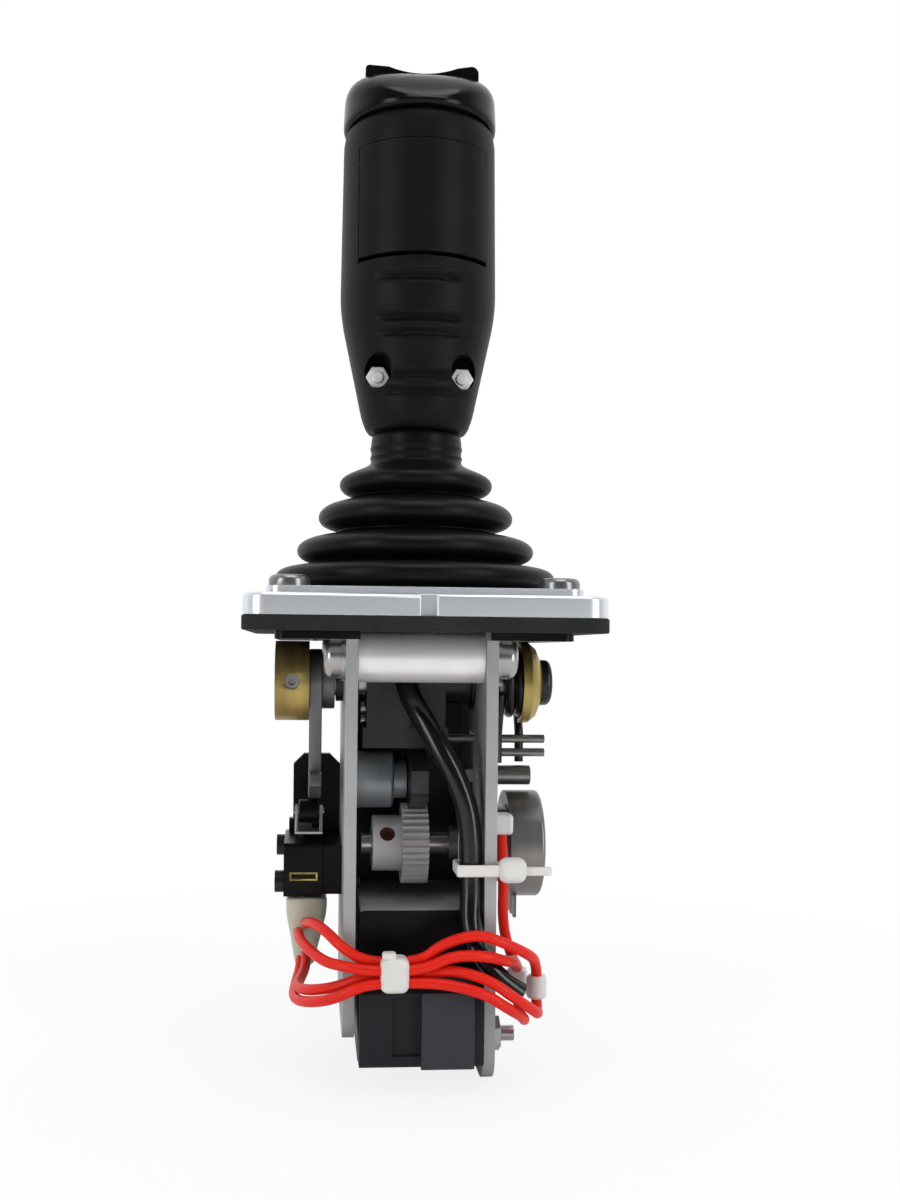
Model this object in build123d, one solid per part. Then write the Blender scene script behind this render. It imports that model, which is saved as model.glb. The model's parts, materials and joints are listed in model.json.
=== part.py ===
from build123d import *
import math
import os

# Industrial joystick for panel mounting. Millimetres, +Z up along the handle.
# The origin is the centre of the gasket's underside, which is the panel's plane.
# +X points to the position sensor, and -Y to the operator's side with the trigger.

# Clearances
RUN = 0.05          # radial running clearance of shafts and pins
FIT = 0.02          # radial clearance of fixed shanks
GAP = 0.3           # air between pieces that move past each other

# Panel stack
PLATE_W = 88.9
PLATE_R = 6.0
PLATE_T = 5.4
PLATE_HOLE_R = 31.0
NOTCH_W = 4.2
NOTCH_D = 1.6
GASKET_W = PLATE_W + 0.6
GASKET_T = 3.6
CORE_W = GASKET_W - 15.7
GASKET_OPEN = CORE_W + 2 * GAP
CORE_OPEN = CORE_W - 18.8
CORE_R = 2.7
CORE_BELOW = 2.0
RETAINER_W = PLATE_W - 10.9
RETAINER_T = 1.8
RETAINER_HOLE_R = 34.0
SCREW_PITCH = 0.75 * PLATE_W
PANEL_SCREW_R = 2.5
PANEL_HEAD_R = 5.1
PANEL_HEAD_H = 2.8

# Side plates
PLATE_IN = 16.2
SHEET_T = 3.0
SIDE_HALF_Y = 28.0
LEFT_BOTTOM = -103.0
RIGHT_BOTTOM = -113.5
CORNER_R = 7.0
EAR_T = 2.4
EAR_OUT = CORE_W / 2 - 1.5
EAR_IN_Y = 27.3
TAB_IN_Y = 24.0
SIDE_TOP = EAR_T - CORE_BELOW

# Spacer tubes between the side plates
SPACER_R = 6.6
SPACER_Y = 20.5
SPACER_Z = -6.2
SPACER_BORE_R = 3.1
SPACER_SCREW_R = 3.0
SPACER_HEAD_R = 5.6
SPACER_HEAD_H = 4.4
WASHER_R = 6.3
WASHER_T = 1.2

# Lever shaft and its bushes
PIVOT_Z = -13.0
TILT = 20.0
SHAFT_R = 4.0
SHAFT_LEFT = -37.2
SHAFT_RIGHT = 33.6
BUSH_R = 5.5
BUSH_FLANGE_R = 7.5
BUSH_FLANGE_T = 1.0
BUSH_OUT = 2.0
HUB_LEFT = -13.0
HUB_RIGHT = 8.0
HUB_HALF_Y = 7.0
HUB_TOP = -3.0
HUB_BOTTOM = -25.2
BAR_LEFT = -14.0
BAR_RIGHT = 9.0
BAR_HALF_Y = 4.5
BAR_BOTTOM = -30.8
SLEEVE_R = 6.0

# Handle tube and grip
TUBE_R = 6.0
TUBE_BORE_R = 4.2
TUBE_TOP = 112.0
TUBE_BOTTOM = -7.5
GRIP_BOTTOM = 54.3
GRIP_TOP = 134.6
GRIP_HALF_X = 21.0
GRIP_HALF_Y = 22.6
GRIP_SECTIONS = [
    (GRIP_BOTTOM, -7.9, -8.4),
    (55.3, -6.9, -7.4),
    (57.5, -6.1, -6.5),
    (83.5, -0.6, -0.6),
    (89.0, 0.0, 0.0),
    (133.2, -0.6, -0.6),
    (GRIP_TOP, -1.8, -1.8),
]
GRIP_CAVITY_R = 16.4
GRIP_CAVITY_BOTTOM = 97.0
GROOVE_LEVELS = [60.4, 63.7, 75.4, 79.0]
GROOVE_W = 1.2
GROOVE_D = 0.6
GROOVE_HALF_X = 10.5
NUT_X = 11.2
NUT_Z = 67.5
NUT_FLATS = 5.5
NUT_T = 2.4
NUT_SEAT_Y = -7.0
POCKET_R = 3.6
GRIP_SCREW_R = 1.5
GRIP_SCREW_HEAD_R = 2.75

# Trigger in the grip's front
WINDOW_HALF_X = 17.0
WINDOW_TOP = 126.7
WINDOW_BACK = -5.0
TRIGGER_BOTTOM = 97.3
TRIGGER_PROUD = 0.3
TRIGGER_WALL = 3.0
TRIGGER_PIN_Y = -9.0
TRIGGER_PIN_Z = 124.0
TRIGGER_PULL = 3.5          # degrees
PIN_R = 1.2

# Top cap and rocker
CAP_TOP = 150.4
CAP_SECTIONS = [(GRIP_TOP, -1.2), (136.0, 0.0), (144.5, -0.2), (148.0, -2.2), (CAP_TOP, -5.6)]
CAP_HALF_X = 20.6
CAP_HALF_Y = 22.6
CAP_CROWN = [(22.8, 134.0), (22.8, 136.6), (21.0, 139.6), (16.0, 143.6), (8.0, 147.8), (0.0, 149.6)]
CAP_CEILING = 142.0
ROCKER_HALF_X = 15.1
ROCKER_HALF_Y = 7.8
ROCKER_TOP = 151.4
ROCKER_PIN_Z = 146.0
ROCKER_TILT = 8.0           # degrees

# Bellows: (radius, height) of each ring's start, crest and crease, from the neck down
BOOT_WALL = 1.4
BOOT_NECK_R = 12.2
BOOT_TOP = 53.9
BOOT_NECK_LOW = 45.4
BOOT_RINGS = [
    ((16.0, 43.2), (20.5, 40.0), (16.8, 36.9)),
    ((21.4, 34.9), (26.1, 31.0), (20.6, 27.5)),
    ((27.2, 25.6), (31.8, 22.0), (27.4, 18.7)),
    ((32.6, 18.1), (37.7, 14.9), (34.6, 12.0)),
]
BOOT_FOOT_R = 33.7
BOOT_FLANGE_R = 37.0
BOOT_FLANGE_T = 0.9

# Gear pair between the lever and the sensor
MODULE = 0.6
SECTOR_TEETH = 112
PINION_TEETH = 34
SECTOR_CUT_TEETH = 8        # teeth on each side of the middle one
PRESSURE = math.radians(20)
BACKLASH = 0.12             # each tooth is thinner by this
SECTOR_X0 = -1.6
SECTOR_X1 = 3.0
SECTOR_NECK_HALF_Y = 3.2
PINION_X0 = -3.2
PINION_X1 = 3.8
PINION_HUB_X0 = -11.0
PINION_HUB_R = 7.5
POT_Z = PIVOT_Z - MODULE * (SECTOR_TEETH + PINION_TEETH) / 2

# Position sensor on the right plate
POT_R = 14.3
POT_X0 = 25.0
POT_X1 = 34.3
POT_SHOULDER_R = 10.5
POT_BUSHING_R = 4.76
POT_SHAFT_R = 3.17
POT_NUT_FLATS = 14.0
POT_NUT_T = 3.0
POT_WASHER_R = 8.2
POT_WASHER_T = 1.4

# Return spring and its pins outside the right plate
WIRE_R = 1.2
COIL_R = 8.4
COIL_X0 = 22.8
COIL_X1 = 29.4
SPRING_PIN_R = 1.15
SPRING_PIN_Z = -28.4
ANCHOR_PIN_Z = -32.1
PIN_END = 36.0
LEG_BEND = 14.0
LEG_END = 21.8
POST_R = 2.65
POST_Z = -38.3
POST_END = 32.0
DISH_R = 11.0
DISH_X0 = 28.6
DISH_X1 = 34.4
DISH_WALL = 1.1

# Collar and cam arm on the left end of the shaft
COLLAR_R = 10.7
COLLAR_LEFT = -37.4
CAM_X0 = -28.3
CAM_X1 = -24.9
CAM_ECCENTRIC = 3.0
CAM_EDGE_R = 31.9
CAM_HEAD_R = 8.6
CAM_FOOT_HALF_Y = 14.0
CAM_STEM_HALF_Y = 5.5
SET_SCREW_R = 2.1

# Limit switch on the left plate
SWITCH_X0 = -34.6
SWITCH_X1 = -24.4
SWITCH_Y0 = -7.0
SWITCH_Y1 = 20.8
SWITCH_TOP = -56.0
SWITCH_BOTTOM = -70.2
HINGE_Y = 17.0
HINGE_Z = SWITCH_TOP + 2.2
HINGE_R = 0.8
ROLLER_R = 3.2
ROLLER_X0 = -30.8
ROLLER_X1 = -25.4
ROLLER_PIN_R = 1.0
FORK_T = 0.8
FORK_AIR = 0.2
PLUNGER_Y = 11.0
PLUNGER_R = 1.2
PLUNGER_DEPTH = 4.4
SWITCH_HOLE_YZ = [(-3.2, -66.6), (16.8, -59.8)]
SWITCH_SCREW_R = 1.5
TOWER_X0 = -32.6
TOWER_Y0 = 24.0
TOWER_Y1 = 27.8
TOWER_TOP = -34.6

# Friction barrel on the left plate
BARREL_R = 7.6
BARREL_Z = -39.6
BARREL_END = -5.6
PAD_R = 5.0

# Rear wall between the side plates
WALL_T = 1.4
WALL_TOP = -14.0
WALL_BOTTOM = -70.6
FOLD_W = 9.0
FOLD_H = 21.0

# Control module between the side plates
CASE_LEFT = -15.2
CASE_TOP = -70.8
CASE_BOTTOM = -110.0
CASE_FRONT = -22.0
CASE_BACK = 22.0
COVER_FRONT = -33.0
COVER_TOP = -85.7
COVER_BOTTOM = -107.6
PAD_RAISE = 1.5
MODULE_SCREW_Y = -13.0
MODULE_SCREW_Z = -105.0
MODULE_SCREW_R = 2.0
MODULE_NUT_R = 4.6

# Cable and wires
CABLE_R = 2.9
RED_R = 1.35
SPLICE_R = 2.6

TOP_Z = GASKET_T + PLATE_T
TRIGGER_DROP = (GRIP_HALF_Y + TRIGGER_PROUD + TRIGGER_PIN_Y) * math.sin(math.radians(TRIGGER_PULL))
WINDOW_BOTTOM = TRIGGER_BOTTOM - TRIGGER_DROP - GAP
SIDE_OUT = PLATE_IN + SHEET_T
ROCKER_CORNER_Z = ROCKER_TOP - 1.7 - ROCKER_PIN_Z
ROCKER_CORNER = math.atan2(ROCKER_CORNER_Z, ROCKER_HALF_X) - math.radians(ROCKER_TILT)
ROCKER_SLOT_X = math.hypot(ROCKER_HALF_X, ROCKER_CORNER_Z) * math.cos(ROCKER_CORNER) + GAP
ROLLER_Z = PIVOT_Z - math.sqrt((CAM_EDGE_R + ROLLER_R + GAP) ** 2 - CAM_ECCENTRIC ** 2)


def rod_x(x0, x1, radius, y=0.0, z=0.0):
    """Round bar along X from x0 to x1."""
    return Pos((x0 + x1) / 2, y, z) * Rot(0, 90, 0) * Cylinder(radius, x1 - x0)


def rod_y(y0, y1, radius, x=0.0, z=0.0):
    """Round bar along Y from y0 to y1."""
    return Pos(x, (y0 + y1) / 2, z) * Rot(90, 0, 0) * Cylinder(radius, y1 - y0)


def rod_z(z0, z1, radius, x=0.0, y=0.0):
    """Round bar along Z from z0 to z1."""
    return Pos(x, y, (z0 + z1) / 2) * Cylinder(radius, z1 - z0)


def block(x0, x1, y0, y1, z0, z1):
    """Box between two corners."""
    centre = Pos((x0 + x1) / 2, (y0 + y1) / 2, (z0 + z1) / 2)
    return centre * Box(x1 - x0, y1 - y0, z1 - z0)


def slab(width, radius, z0, z1):
    """Square slab with rounded corners."""
    return Pos(0, 0, z0) * extrude(RectangleRounded(width, width, radius), z1 - z0)


def group(*solids):
    """Separate solids kept in one node."""
    return Compound(children=[s for s in solids])


def save(name, shape):
    """Writes one node."""
    export_step(shape, f"parts/{name}.step")


def screw_places():
    """Places of the four panel screws."""
    half = SCREW_PITCH / 2
    return [(sx * half, sy * half) for sx in (-1, 1) for sy in (-1, 1)]


def face_yz(points, x0, x1):
    """Polygon in the Y-Z plane, extruded along X from x0 to x1."""
    outline = Polyline(*[(0, y, z) for y, z in points], close=True)
    face = make_face(outline)
    return Pos(x0, 0, 0) * extrude(face, x1 - x0, dir=(1, 0, 0))


def pan_head_z(radius, height, z):
    """Domed screw head standing on z."""
    head = Pos(0, 0, z + height / 2) * Cylinder(radius, height)
    return fillet(head.edges().sort_by(Axis.Z)[-1], height * 0.55)


def mounting_plate():
    plate = slab(PLATE_W, PLATE_R, GASKET_T, TOP_Z)
    plate = fillet(plate.faces().sort_by(Axis.Z)[-1].edges(), 1.2)
    plate -= rod_z(GASKET_T, TOP_Z, PLATE_HOLE_R)
    front = -PLATE_W / 2
    plate -= block(-NOTCH_W / 2, NOTCH_W / 2, front, front + NOTCH_D, GASKET_T, TOP_Z)
    for x, y in screw_places():
        plate -= rod_z(GASKET_T, TOP_Z, PANEL_SCREW_R + FIT, x, y)
    return plate


def gasket():
    ring = slab(GASKET_W, PLATE_R + 0.3, 0, GASKET_T)
    return ring - slab(GASKET_OPEN, 3.0, 0, GASKET_T)


def spacer_frame():
    ring = slab(CORE_W, CORE_R, -CORE_BELOW, GASKET_T)
    ring -= slab(CORE_OPEN, 3.0, -CORE_BELOW, GASKET_T)
    for side in (-1, 1):
        for y_side in (-1, 1):
            x0, x1 = sorted((side * (PLATE_IN - GAP), side * (EAR_OUT + GAP)))
            y0, y1 = sorted((y_side * (EAR_IN_Y - GAP), y_side * (EAR_OUT + GAP)))
            ring -= block(x0, x1, y0, y1, -CORE_BELOW, SIDE_TOP)
    for x, y in screw_places():
        ring -= rod_z(-CORE_BELOW, GASKET_T, PANEL_SCREW_R + FIT, x, y)
    return ring


def boot_retainer():
    top = TOP_Z + RETAINER_T
    plate = slab(RETAINER_W, 4.0, TOP_Z, top)
    plate -= rod_z(TOP_Z, top, RETAINER_HOLE_R)
    plate -= rod_z(TOP_Z, TOP_Z + BOOT_FLANGE_T + 0.05, BOOT_FLANGE_R + 0.2)
    for x, y in screw_places():
        plate -= rod_z(TOP_Z, top, PANEL_SCREW_R + FIT, x, y)
    return plate


def retainer_screws():
    seat = TOP_Z + RETAINER_T
    end = -CORE_BELOW
    screw = pan_head_z(PANEL_HEAD_R, PANEL_HEAD_H, seat) + rod_z(end, seat, PANEL_SCREW_R)
    cross = block(-2.2, 2.2, -0.5, 0.5, seat + 1.8, seat + PANEL_HEAD_H)
    screw -= cross + Rot(0, 0, 90) * cross
    return group(*[Pos(x, y, 0) * screw for x, y in screw_places()])


def moved_to(point, target, reach):
    """Point moved by a distance towards another."""
    way = Vector(*target) - Vector(*point)
    end = Vector(*point) + way.normalized() * reach
    return (end.X, end.Y)


def boot():
    """Rubber bellows from the neck down to its clamped flange. The wall is even round every fold."""
    foot_z = TOP_Z
    flange_top = foot_z + BOOT_FLANGE_T
    inner_neck = BOOT_NECK_R - BOOT_WALL
    last = (BOOT_NECK_R, BOOT_NECK_LOW)
    last_inner = (inner_neck, BOOT_NECK_LOW - 0.8)
    outer = [Line((BOOT_NECK_R, BOOT_TOP), last)]
    inner = [Line((inner_neck, BOOT_TOP), last_inner)]
    for i, (start, crest, crease) in enumerate(BOOT_RINGS):
        arc = ThreePointArc(start, crest, crease)
        centre = (arc.arc_center.X, arc.arc_center.Y)
        outer += [Line(last, start), arc]
        inside = [moved_to(p, centre, BOOT_WALL) for p in (start, crest, crease)]
        inner += [Line(last_inner, inside[0]), ThreePointArc(*inside)]
        last = crease
        last_inner = inside[2]
        if i + 1 < len(BOOT_RINGS):
            after = BOOT_RINGS[i + 1][0]
            run = Vector(*after) - Vector(*crease)
            below_run = (crease[0] + run.Y, crease[1] - run.X)
            fold_end = moved_to(crease, below_run, BOOT_WALL)
            fold_side = moved_to(crease, (0, crease[1]), BOOT_WALL)
            inner.append(ThreePointArc(last_inner, fold_side, fold_end))
            last_inner = fold_end
    inner_foot = BOOT_FOOT_R - BOOT_WALL
    outer.append(Polyline(last, (BOOT_FOOT_R, last[1] - 0.4), (BOOT_FOOT_R, flange_top), (BOOT_FLANGE_R, flange_top)))
    outer.append(Polyline((BOOT_FLANGE_R, flange_top), (BOOT_FLANGE_R, foot_z), (inner_foot, foot_z)))
    inner.append(Polyline(last_inner, (inner_foot, last_inner[1] - 0.4), (inner_foot, foot_z)))
    outer.append(Line((inner_neck, BOOT_TOP), (BOOT_NECK_R, BOOT_TOP)))
    return revolve(Plane.XZ * make_face([*outer, *inner]), Axis.Z)


def ear(side, y_side):
    """Ear bent outwards at the top of a side plate. It sits in a pocket of the spacer frame."""
    x0, x1 = sorted((side * PLATE_IN, side * EAR_OUT))
    y0, y1 = sorted((y_side * EAR_IN_Y, y_side * EAR_OUT))
    piece = block(x0, x1, y0, y1, -CORE_BELOW, SIDE_TOP) & slab(2 * EAR_OUT, CORE_R, -CORE_BELOW, SIDE_TOP)
    half = SCREW_PITCH / 2
    return piece - rod_z(-CORE_BELOW, SIDE_TOP, PANEL_SCREW_R + FIT, side * half, y_side * half)


def side_plate(side, bottom):
    """Side plate with its ears, bush hole and spacer screw holes."""
    x0, x1 = sorted((side * PLATE_IN, side * SIDE_OUT))
    sheet = block(x0, x1, -SIDE_HALF_Y, SIDE_HALF_Y, bottom, SIDE_TOP)
    low_edges = sheet.edges().filter_by(Axis.X).group_by(Axis.Z)[0]
    sheet = fillet(low_edges, CORNER_R)
    sheet -= block(x0, x1, -TAB_IN_Y, TAB_IN_Y, -CORE_BELOW, SIDE_TOP)
    for y_side in (-1, 1):
        sheet += ear(side, y_side)
    sheet -= rod_x(x0, x1, BUSH_R + FIT, 0, PIVOT_Z)
    for y in (-SPACER_Y, SPACER_Y):
        sheet -= rod_x(x0, x1, SPACER_SCREW_R + FIT, y, SPACER_Z)
    return sheet


def left_side_plate():
    sheet = side_plate(-1, LEFT_BOTTOM)
    sheet -= rod_x(-SIDE_OUT, -PLATE_IN, 3.0, 0, BARREL_Z)
    for y, z in SWITCH_HOLE_YZ:
        sheet -= rod_x(-SIDE_OUT, -PLATE_IN, SWITCH_SCREW_R + FIT, y, z)
    return sheet


def arc_slot(radius, half_angle, half_width, x0, x1):
    """Slot round the shaft's axis, centred below it."""
    ring = rod_x(x0, x1, radius + half_width, 0, PIVOT_Z)
    ring -= rod_x(x0, x1, radius - half_width, 0, PIVOT_Z)
    reach = radius * 3
    a = math.radians(half_angle)
    wedge = face_yz(
        [(0, PIVOT_Z), (-reach * math.sin(a), PIVOT_Z - reach * math.cos(a)),
         (reach * math.sin(a), PIVOT_Z - reach * math.cos(a))], x0, x1)
    slot = ring & wedge
    for s in (-1, 1):
        slot += rod_x(x0, x1, half_width, s * radius * math.sin(a), PIVOT_Z - radius * math.cos(a))
    return slot


def right_side_plate():
    sheet = side_plate(1, RIGHT_BOTTOM)
    x0, x1 = PLATE_IN, SIDE_OUT
    sheet -= arc_slot(PIVOT_Z - SPRING_PIN_Z, TILT, SPRING_PIN_R + 0.35, x0, x1)
    sheet -= rod_x(x0, x1, SPRING_PIN_R + FIT, 0, ANCHOR_PIN_Z)
    sheet -= rod_x(x0, x1, 2.0 + FIT, 0, POST_Z)
    sheet -= rod_x(x0, x1, POT_BUSHING_R + FIT, 0, POT_Z)
    sheet -= rod_x(x0, x1, MODULE_SCREW_R + FIT, MODULE_SCREW_Y, MODULE_SCREW_Z)
    sheet -= block(x0, x1, -21.3, -19.4, -62.2, -57.0)
    return sheet


def spacer(y):
    tube = rod_x(-PLATE_IN, PLATE_IN, SPACER_R, y, SPACER_Z)
    return tube - rod_x(-PLATE_IN, PLATE_IN, SPACER_BORE_R - 0.6, y, SPACER_Z)


def spacer_screws():
    """Washer and pan-head screw at each end of both spacers."""
    washer = rod_z(0, WASHER_T, WASHER_R) - rod_z(0, WASHER_T, SPACER_SCREW_R + FIT)
    screw = pan_head_z(SPACER_HEAD_R, SPACER_HEAD_H, WASHER_T)
    screw += rod_z(-SHEET_T, WASHER_T, SPACER_SCREW_R) + rod_z(-SHEET_T - 9, -SHEET_T, SPACER_BORE_R - 0.62)
    cross = block(-2.6, 2.6, -0.6, 0.6, WASHER_T + 2.4, WASHER_T + SPACER_HEAD_H)
    screw -= cross + Rot(0, 0, 90) * cross
    solids = []
    for side in (-1, 1):
        for y in (-SPACER_Y, SPACER_Y):
            place = Pos(side * SIDE_OUT, y, SPACER_Z) * Rot(0, side * 90, 0)
            solids += [place * washer, place * screw]
    return group(*solids)


def shaft_bushes():
    solids = []
    for side in (-1, 1):
        a = side * (PLATE_IN - BUSH_FLANGE_T)
        b = side * PLATE_IN
        c = side * (SIDE_OUT + BUSH_OUT)
        bush = rod_x(*sorted((a, b)), BUSH_FLANGE_R, 0, PIVOT_Z) + rod_x(*sorted((b, c)), BUSH_R, 0, PIVOT_Z)
        solids.append(bush - rod_x(*sorted((a, c)), SHAFT_R + RUN, 0, PIVOT_Z))
    return group(*solids)


def pivot_shaft():
    shaft = rod_x(SHAFT_LEFT, SHAFT_RIGHT, SHAFT_R, 0, PIVOT_Z)
    return shaft - rod_x(SHAFT_RIGHT - 12, SHAFT_RIGHT, 2.5 + FIT, 0, PIVOT_Z)


def hub_block():
    hub = block(HUB_LEFT, HUB_RIGHT, -HUB_HALF_Y, HUB_HALF_Y, HUB_BOTTOM, HUB_TOP)
    hub = chamfer(hub.edges().filter_by(Axis.X).group_by(Axis.Z)[-1], 2.0)
    hub -= rod_x(HUB_LEFT, HUB_RIGHT, SHAFT_R + FIT, 0, PIVOT_Z)
    hub -= rod_z(TUBE_BOTTOM, HUB_TOP, TUBE_R + FIT)
    hub -= block(SECTOR_X0, SECTOR_X1, -HUB_HALF_Y, HUB_HALF_Y, HUB_BOTTOM, PIVOT_Z - SHAFT_R - 0.8)
    for z in sector_screw_levels():
        hub -= rod_x(HUB_LEFT, HUB_RIGHT, 1.25 + FIT, 0, z)
    return hub


def sector_screw_levels():
    return [-20.2, -23.4]


def sector_screws():
    solids = []
    for z in sector_screw_levels():
        shank = rod_x(HUB_LEFT, HUB_RIGHT, 1.25, 0, z)
        solids.append(shank + rod_x(HUB_LEFT - 1.4, HUB_LEFT, 1.55, 0, z))
    return group(*solids)


def cross_bar():
    bar = block(BAR_LEFT, BAR_RIGHT, -BAR_HALF_Y, BAR_HALF_Y, BAR_BOTTOM, HUB_BOTTOM)
    bar -= block(SECTOR_X0, SECTOR_X1, -SECTOR_NECK_HALF_Y, SECTOR_NECK_HALF_Y, BAR_BOTTOM, HUB_BOTTOM)
    return bar - rod_x(BAR_LEFT, BAR_RIGHT, SPRING_PIN_R + FIT, 0, SPRING_PIN_Z)


def involute(angle):
    return math.tan(angle) - angle


def tooth_points(teeth, centre_angle):
    """One tooth, from root to root, as (angle, radius) pairs. Flanks follow the involute."""
    pitch_r = MODULE * teeth / 2
    base_r = pitch_r * math.cos(PRESSURE)
    root_r = pitch_r - 1.25 * MODULE
    tip_r = pitch_r + MODULE
    half_pitch = math.pi / (2 * teeth) - BACKLASH / (2 * pitch_r)
    start_r = max(base_r, root_r)
    flank = []
    for i in range(4):
        r = start_r + (tip_r - start_r) * i / 3
        pressure_here = math.acos(min(1.0, base_r / r))
        flank.append((half_pitch + involute(PRESSURE) - involute(pressure_here), r))
    foot = [(flank[0][0], root_r)] if root_r < start_r - 1e-6 else []
    rising = [(centre_angle - a, r) for a, r in foot + flank]
    falling = [(centre_angle + a, r) for a, r in reversed(foot + flank)]
    return rising + falling


def below(centre_z, angle, radius):
    """Point in the Y-Z plane at an angle from straight down."""
    return (radius * math.sin(angle), centre_z - radius * math.cos(angle))


def sector_gear():
    """Toothed segment that hangs from the hub and turns with the lever."""
    step = 2 * math.pi / SECTOR_TEETH
    rim = []
    for i in range(-SECTOR_CUT_TEETH, SECTOR_CUT_TEETH + 1):
        rim += tooth_points(SECTOR_TEETH, i * step)
    points = [below(PIVOT_Z, a, r) for a, r in rim]
    half = (SECTOR_CUT_TEETH + 0.9) * step
    root_r = MODULE * SECTOR_TEETH / 2 - 1.25 * MODULE
    first = below(PIVOT_Z, -half, root_r)
    last = below(PIVOT_Z, half, root_r)
    shoulder_z = BAR_BOTTOM - 0.6
    neck_top = PIVOT_Z - SHAFT_R - 1.0
    neck = [(SECTOR_NECK_HALF_Y, shoulder_z), (SECTOR_NECK_HALF_Y, neck_top),
            (-SECTOR_NECK_HALF_Y, neck_top), (-SECTOR_NECK_HALF_Y, shoulder_z)]
    side = shoulder_z - 4.5
    points += [last, (last[0], side), (6.0, shoulder_z)] + neck
    points += [(-6.0, shoulder_z), (first[0], side), first]
    gear = face_yz(points, SECTOR_X0, SECTOR_X1)
    gear -= rod_x(SECTOR_X0, SECTOR_X1, SPRING_PIN_R + FIT, 0, SPRING_PIN_Z)
    for z in sector_screw_levels():
        gear -= rod_x(SECTOR_X0, SECTOR_X1, 1.25 + FIT, 0, z)
    return gear


def pinion():
    """Nylon gear with its hub. A gap faces the sector's middle tooth."""
    step = 2 * math.pi / PINION_TEETH
    rim = []
    for i in range(PINION_TEETH):
        rim += tooth_points(PINION_TEETH, math.pi + (i + 0.5) * step)
    gear = face_yz([below(POT_Z, a, r) for a, r in rim], PINION_X0, PINION_X1)
    gear += rod_x(PINION_HUB_X0, PINION_X0, PINION_HUB_R, 0, POT_Z)
    gear -= rod_x(PINION_HUB_X0, PINION_X1, POT_SHAFT_R + FIT, 0, POT_Z)
    hole = Pos(pinion_screw_x(), 0, POT_Z) * Rot(90 - 28, 0, 0) * Pos(0, 0, 6) * Cylinder(SET_SCREW_R, 5.4)
    return gear - hole


def pinion_screw_x():
    return (PINION_HUB_X0 + PINION_X0) / 2


def pinion_screw():
    place = Pos(pinion_screw_x(), 0, POT_Z) * Rot(90 - 28, 0, 0)
    screw = place * Pos(0, 0, 4.8) * Cylinder(SET_SCREW_R - FIT, 2.8)
    return screw - place * Pos(0, 0, 6) * Cylinder(0.9, 1.6)


def handle_tube():
    tube = rod_z(TUBE_BOTTOM, TUBE_TOP, TUBE_R)
    tube += rod_z(45.5, BOOT_TOP, BOOT_NECK_R - BOOT_WALL - 0.02)
    tube -= rod_z(TUBE_BOTTOM + 6, TUBE_TOP, TUBE_BORE_R)
    return tube - block(-3.7, 3.7, -TUBE_R, 0, HUB_TOP + 0.3, 21)


def shaft_sleeve():
    tube = rod_x(HUB_RIGHT, PLATE_IN - BUSH_FLANGE_T - 0.2, SLEEVE_R, 0, PIVOT_Z)
    return tube - rod_x(HUB_RIGHT, PLATE_IN, SHAFT_R + FIT, 0, PIVOT_Z)


def left_collar():
    collar = rod_x(COLLAR_LEFT, CAM_X0, COLLAR_R, 0, PIVOT_Z)
    collar -= rod_x(SHAFT_LEFT, CAM_X0, SHAFT_R + FIT, 0, PIVOT_Z)
    middle = (COLLAR_LEFT + CAM_X0) / 2
    return collar - rod_y(-COLLAR_R, -SHAFT_R, SET_SCREW_R, middle, PIVOT_Z)


def collar_screw():
    middle = (COLLAR_LEFT + CAM_X0) / 2
    screw = rod_y(-9.4, -SHAFT_R - FIT, SET_SCREW_R - FIT, middle, PIVOT_Z)
    return screw - rod_y(-9.4, -7.6, 1.0, middle, PIVOT_Z)


def cam_arm():
    """Arm on the shaft whose lower edge is an arc set off from the pivot."""
    edge = rod_x(CAM_X0, CAM_X1, CAM_EDGE_R, CAM_ECCENTRIC, PIVOT_Z)
    foot_top = PIVOT_Z - 24
    foot = edge & block(CAM_X0, CAM_X1, -CAM_FOOT_HALF_Y, CAM_FOOT_HALF_Y, PIVOT_Z - 40, foot_top)
    stem = face_yz([(-CAM_HEAD_R, PIVOT_Z), (CAM_HEAD_R, PIVOT_Z),
                    (CAM_STEM_HALF_Y, foot_top - 1), (-CAM_STEM_HALF_Y, foot_top - 1)], CAM_X0, CAM_X1)
    arm = rod_x(CAM_X0, CAM_X1, CAM_HEAD_R, 0, PIVOT_Z) + stem + foot
    boss_end = -SIDE_OUT - BUSH_OUT - GAP
    arm += rod_x(CAM_X1, boss_end, BUSH_FLANGE_R, 0, PIVOT_Z)
    arm -= rod_x(CAM_X0, boss_end, SHAFT_R + FIT, 0, PIVOT_Z)
    return arm - rod_x(CAM_X0, CAM_X1, 2.4, 0, PIVOT_Z - 17)


def dished_washer():
    """Cup-shaped washer whose rim stands round the spring's end and is open for its leg."""
    hole = SHAFT_R + FIT
    outer = [(hole, DISH_X1), (6.0, DISH_X1), (9.4, DISH_X1 - 1.5), (DISH_R, DISH_X1 - 3.4), (DISH_R, DISH_X0)]
    inner = [(DISH_R - DISH_WALL, DISH_X0), (DISH_R - DISH_WALL, DISH_X1 - 3.8), (8.6, DISH_X1 - 2.7),
             (6.0, DISH_X1 - 1.8), (hole, DISH_X1 - 1.8)]
    profile = Polyline(*outer, *inner, close=True)
    ring = revolve(Plane.XZ * make_face(profile), Axis.Z)
    cup = Pos(0, 0, PIVOT_Z) * Rot(0, 90, 0) * ring
    rim = DISH_R + 1
    return cup - block(DISH_X0, COIL_X1 + WIRE_R + GAP, 0.5, rim, PIVOT_Z - rim, PIVOT_Z - 4)


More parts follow.
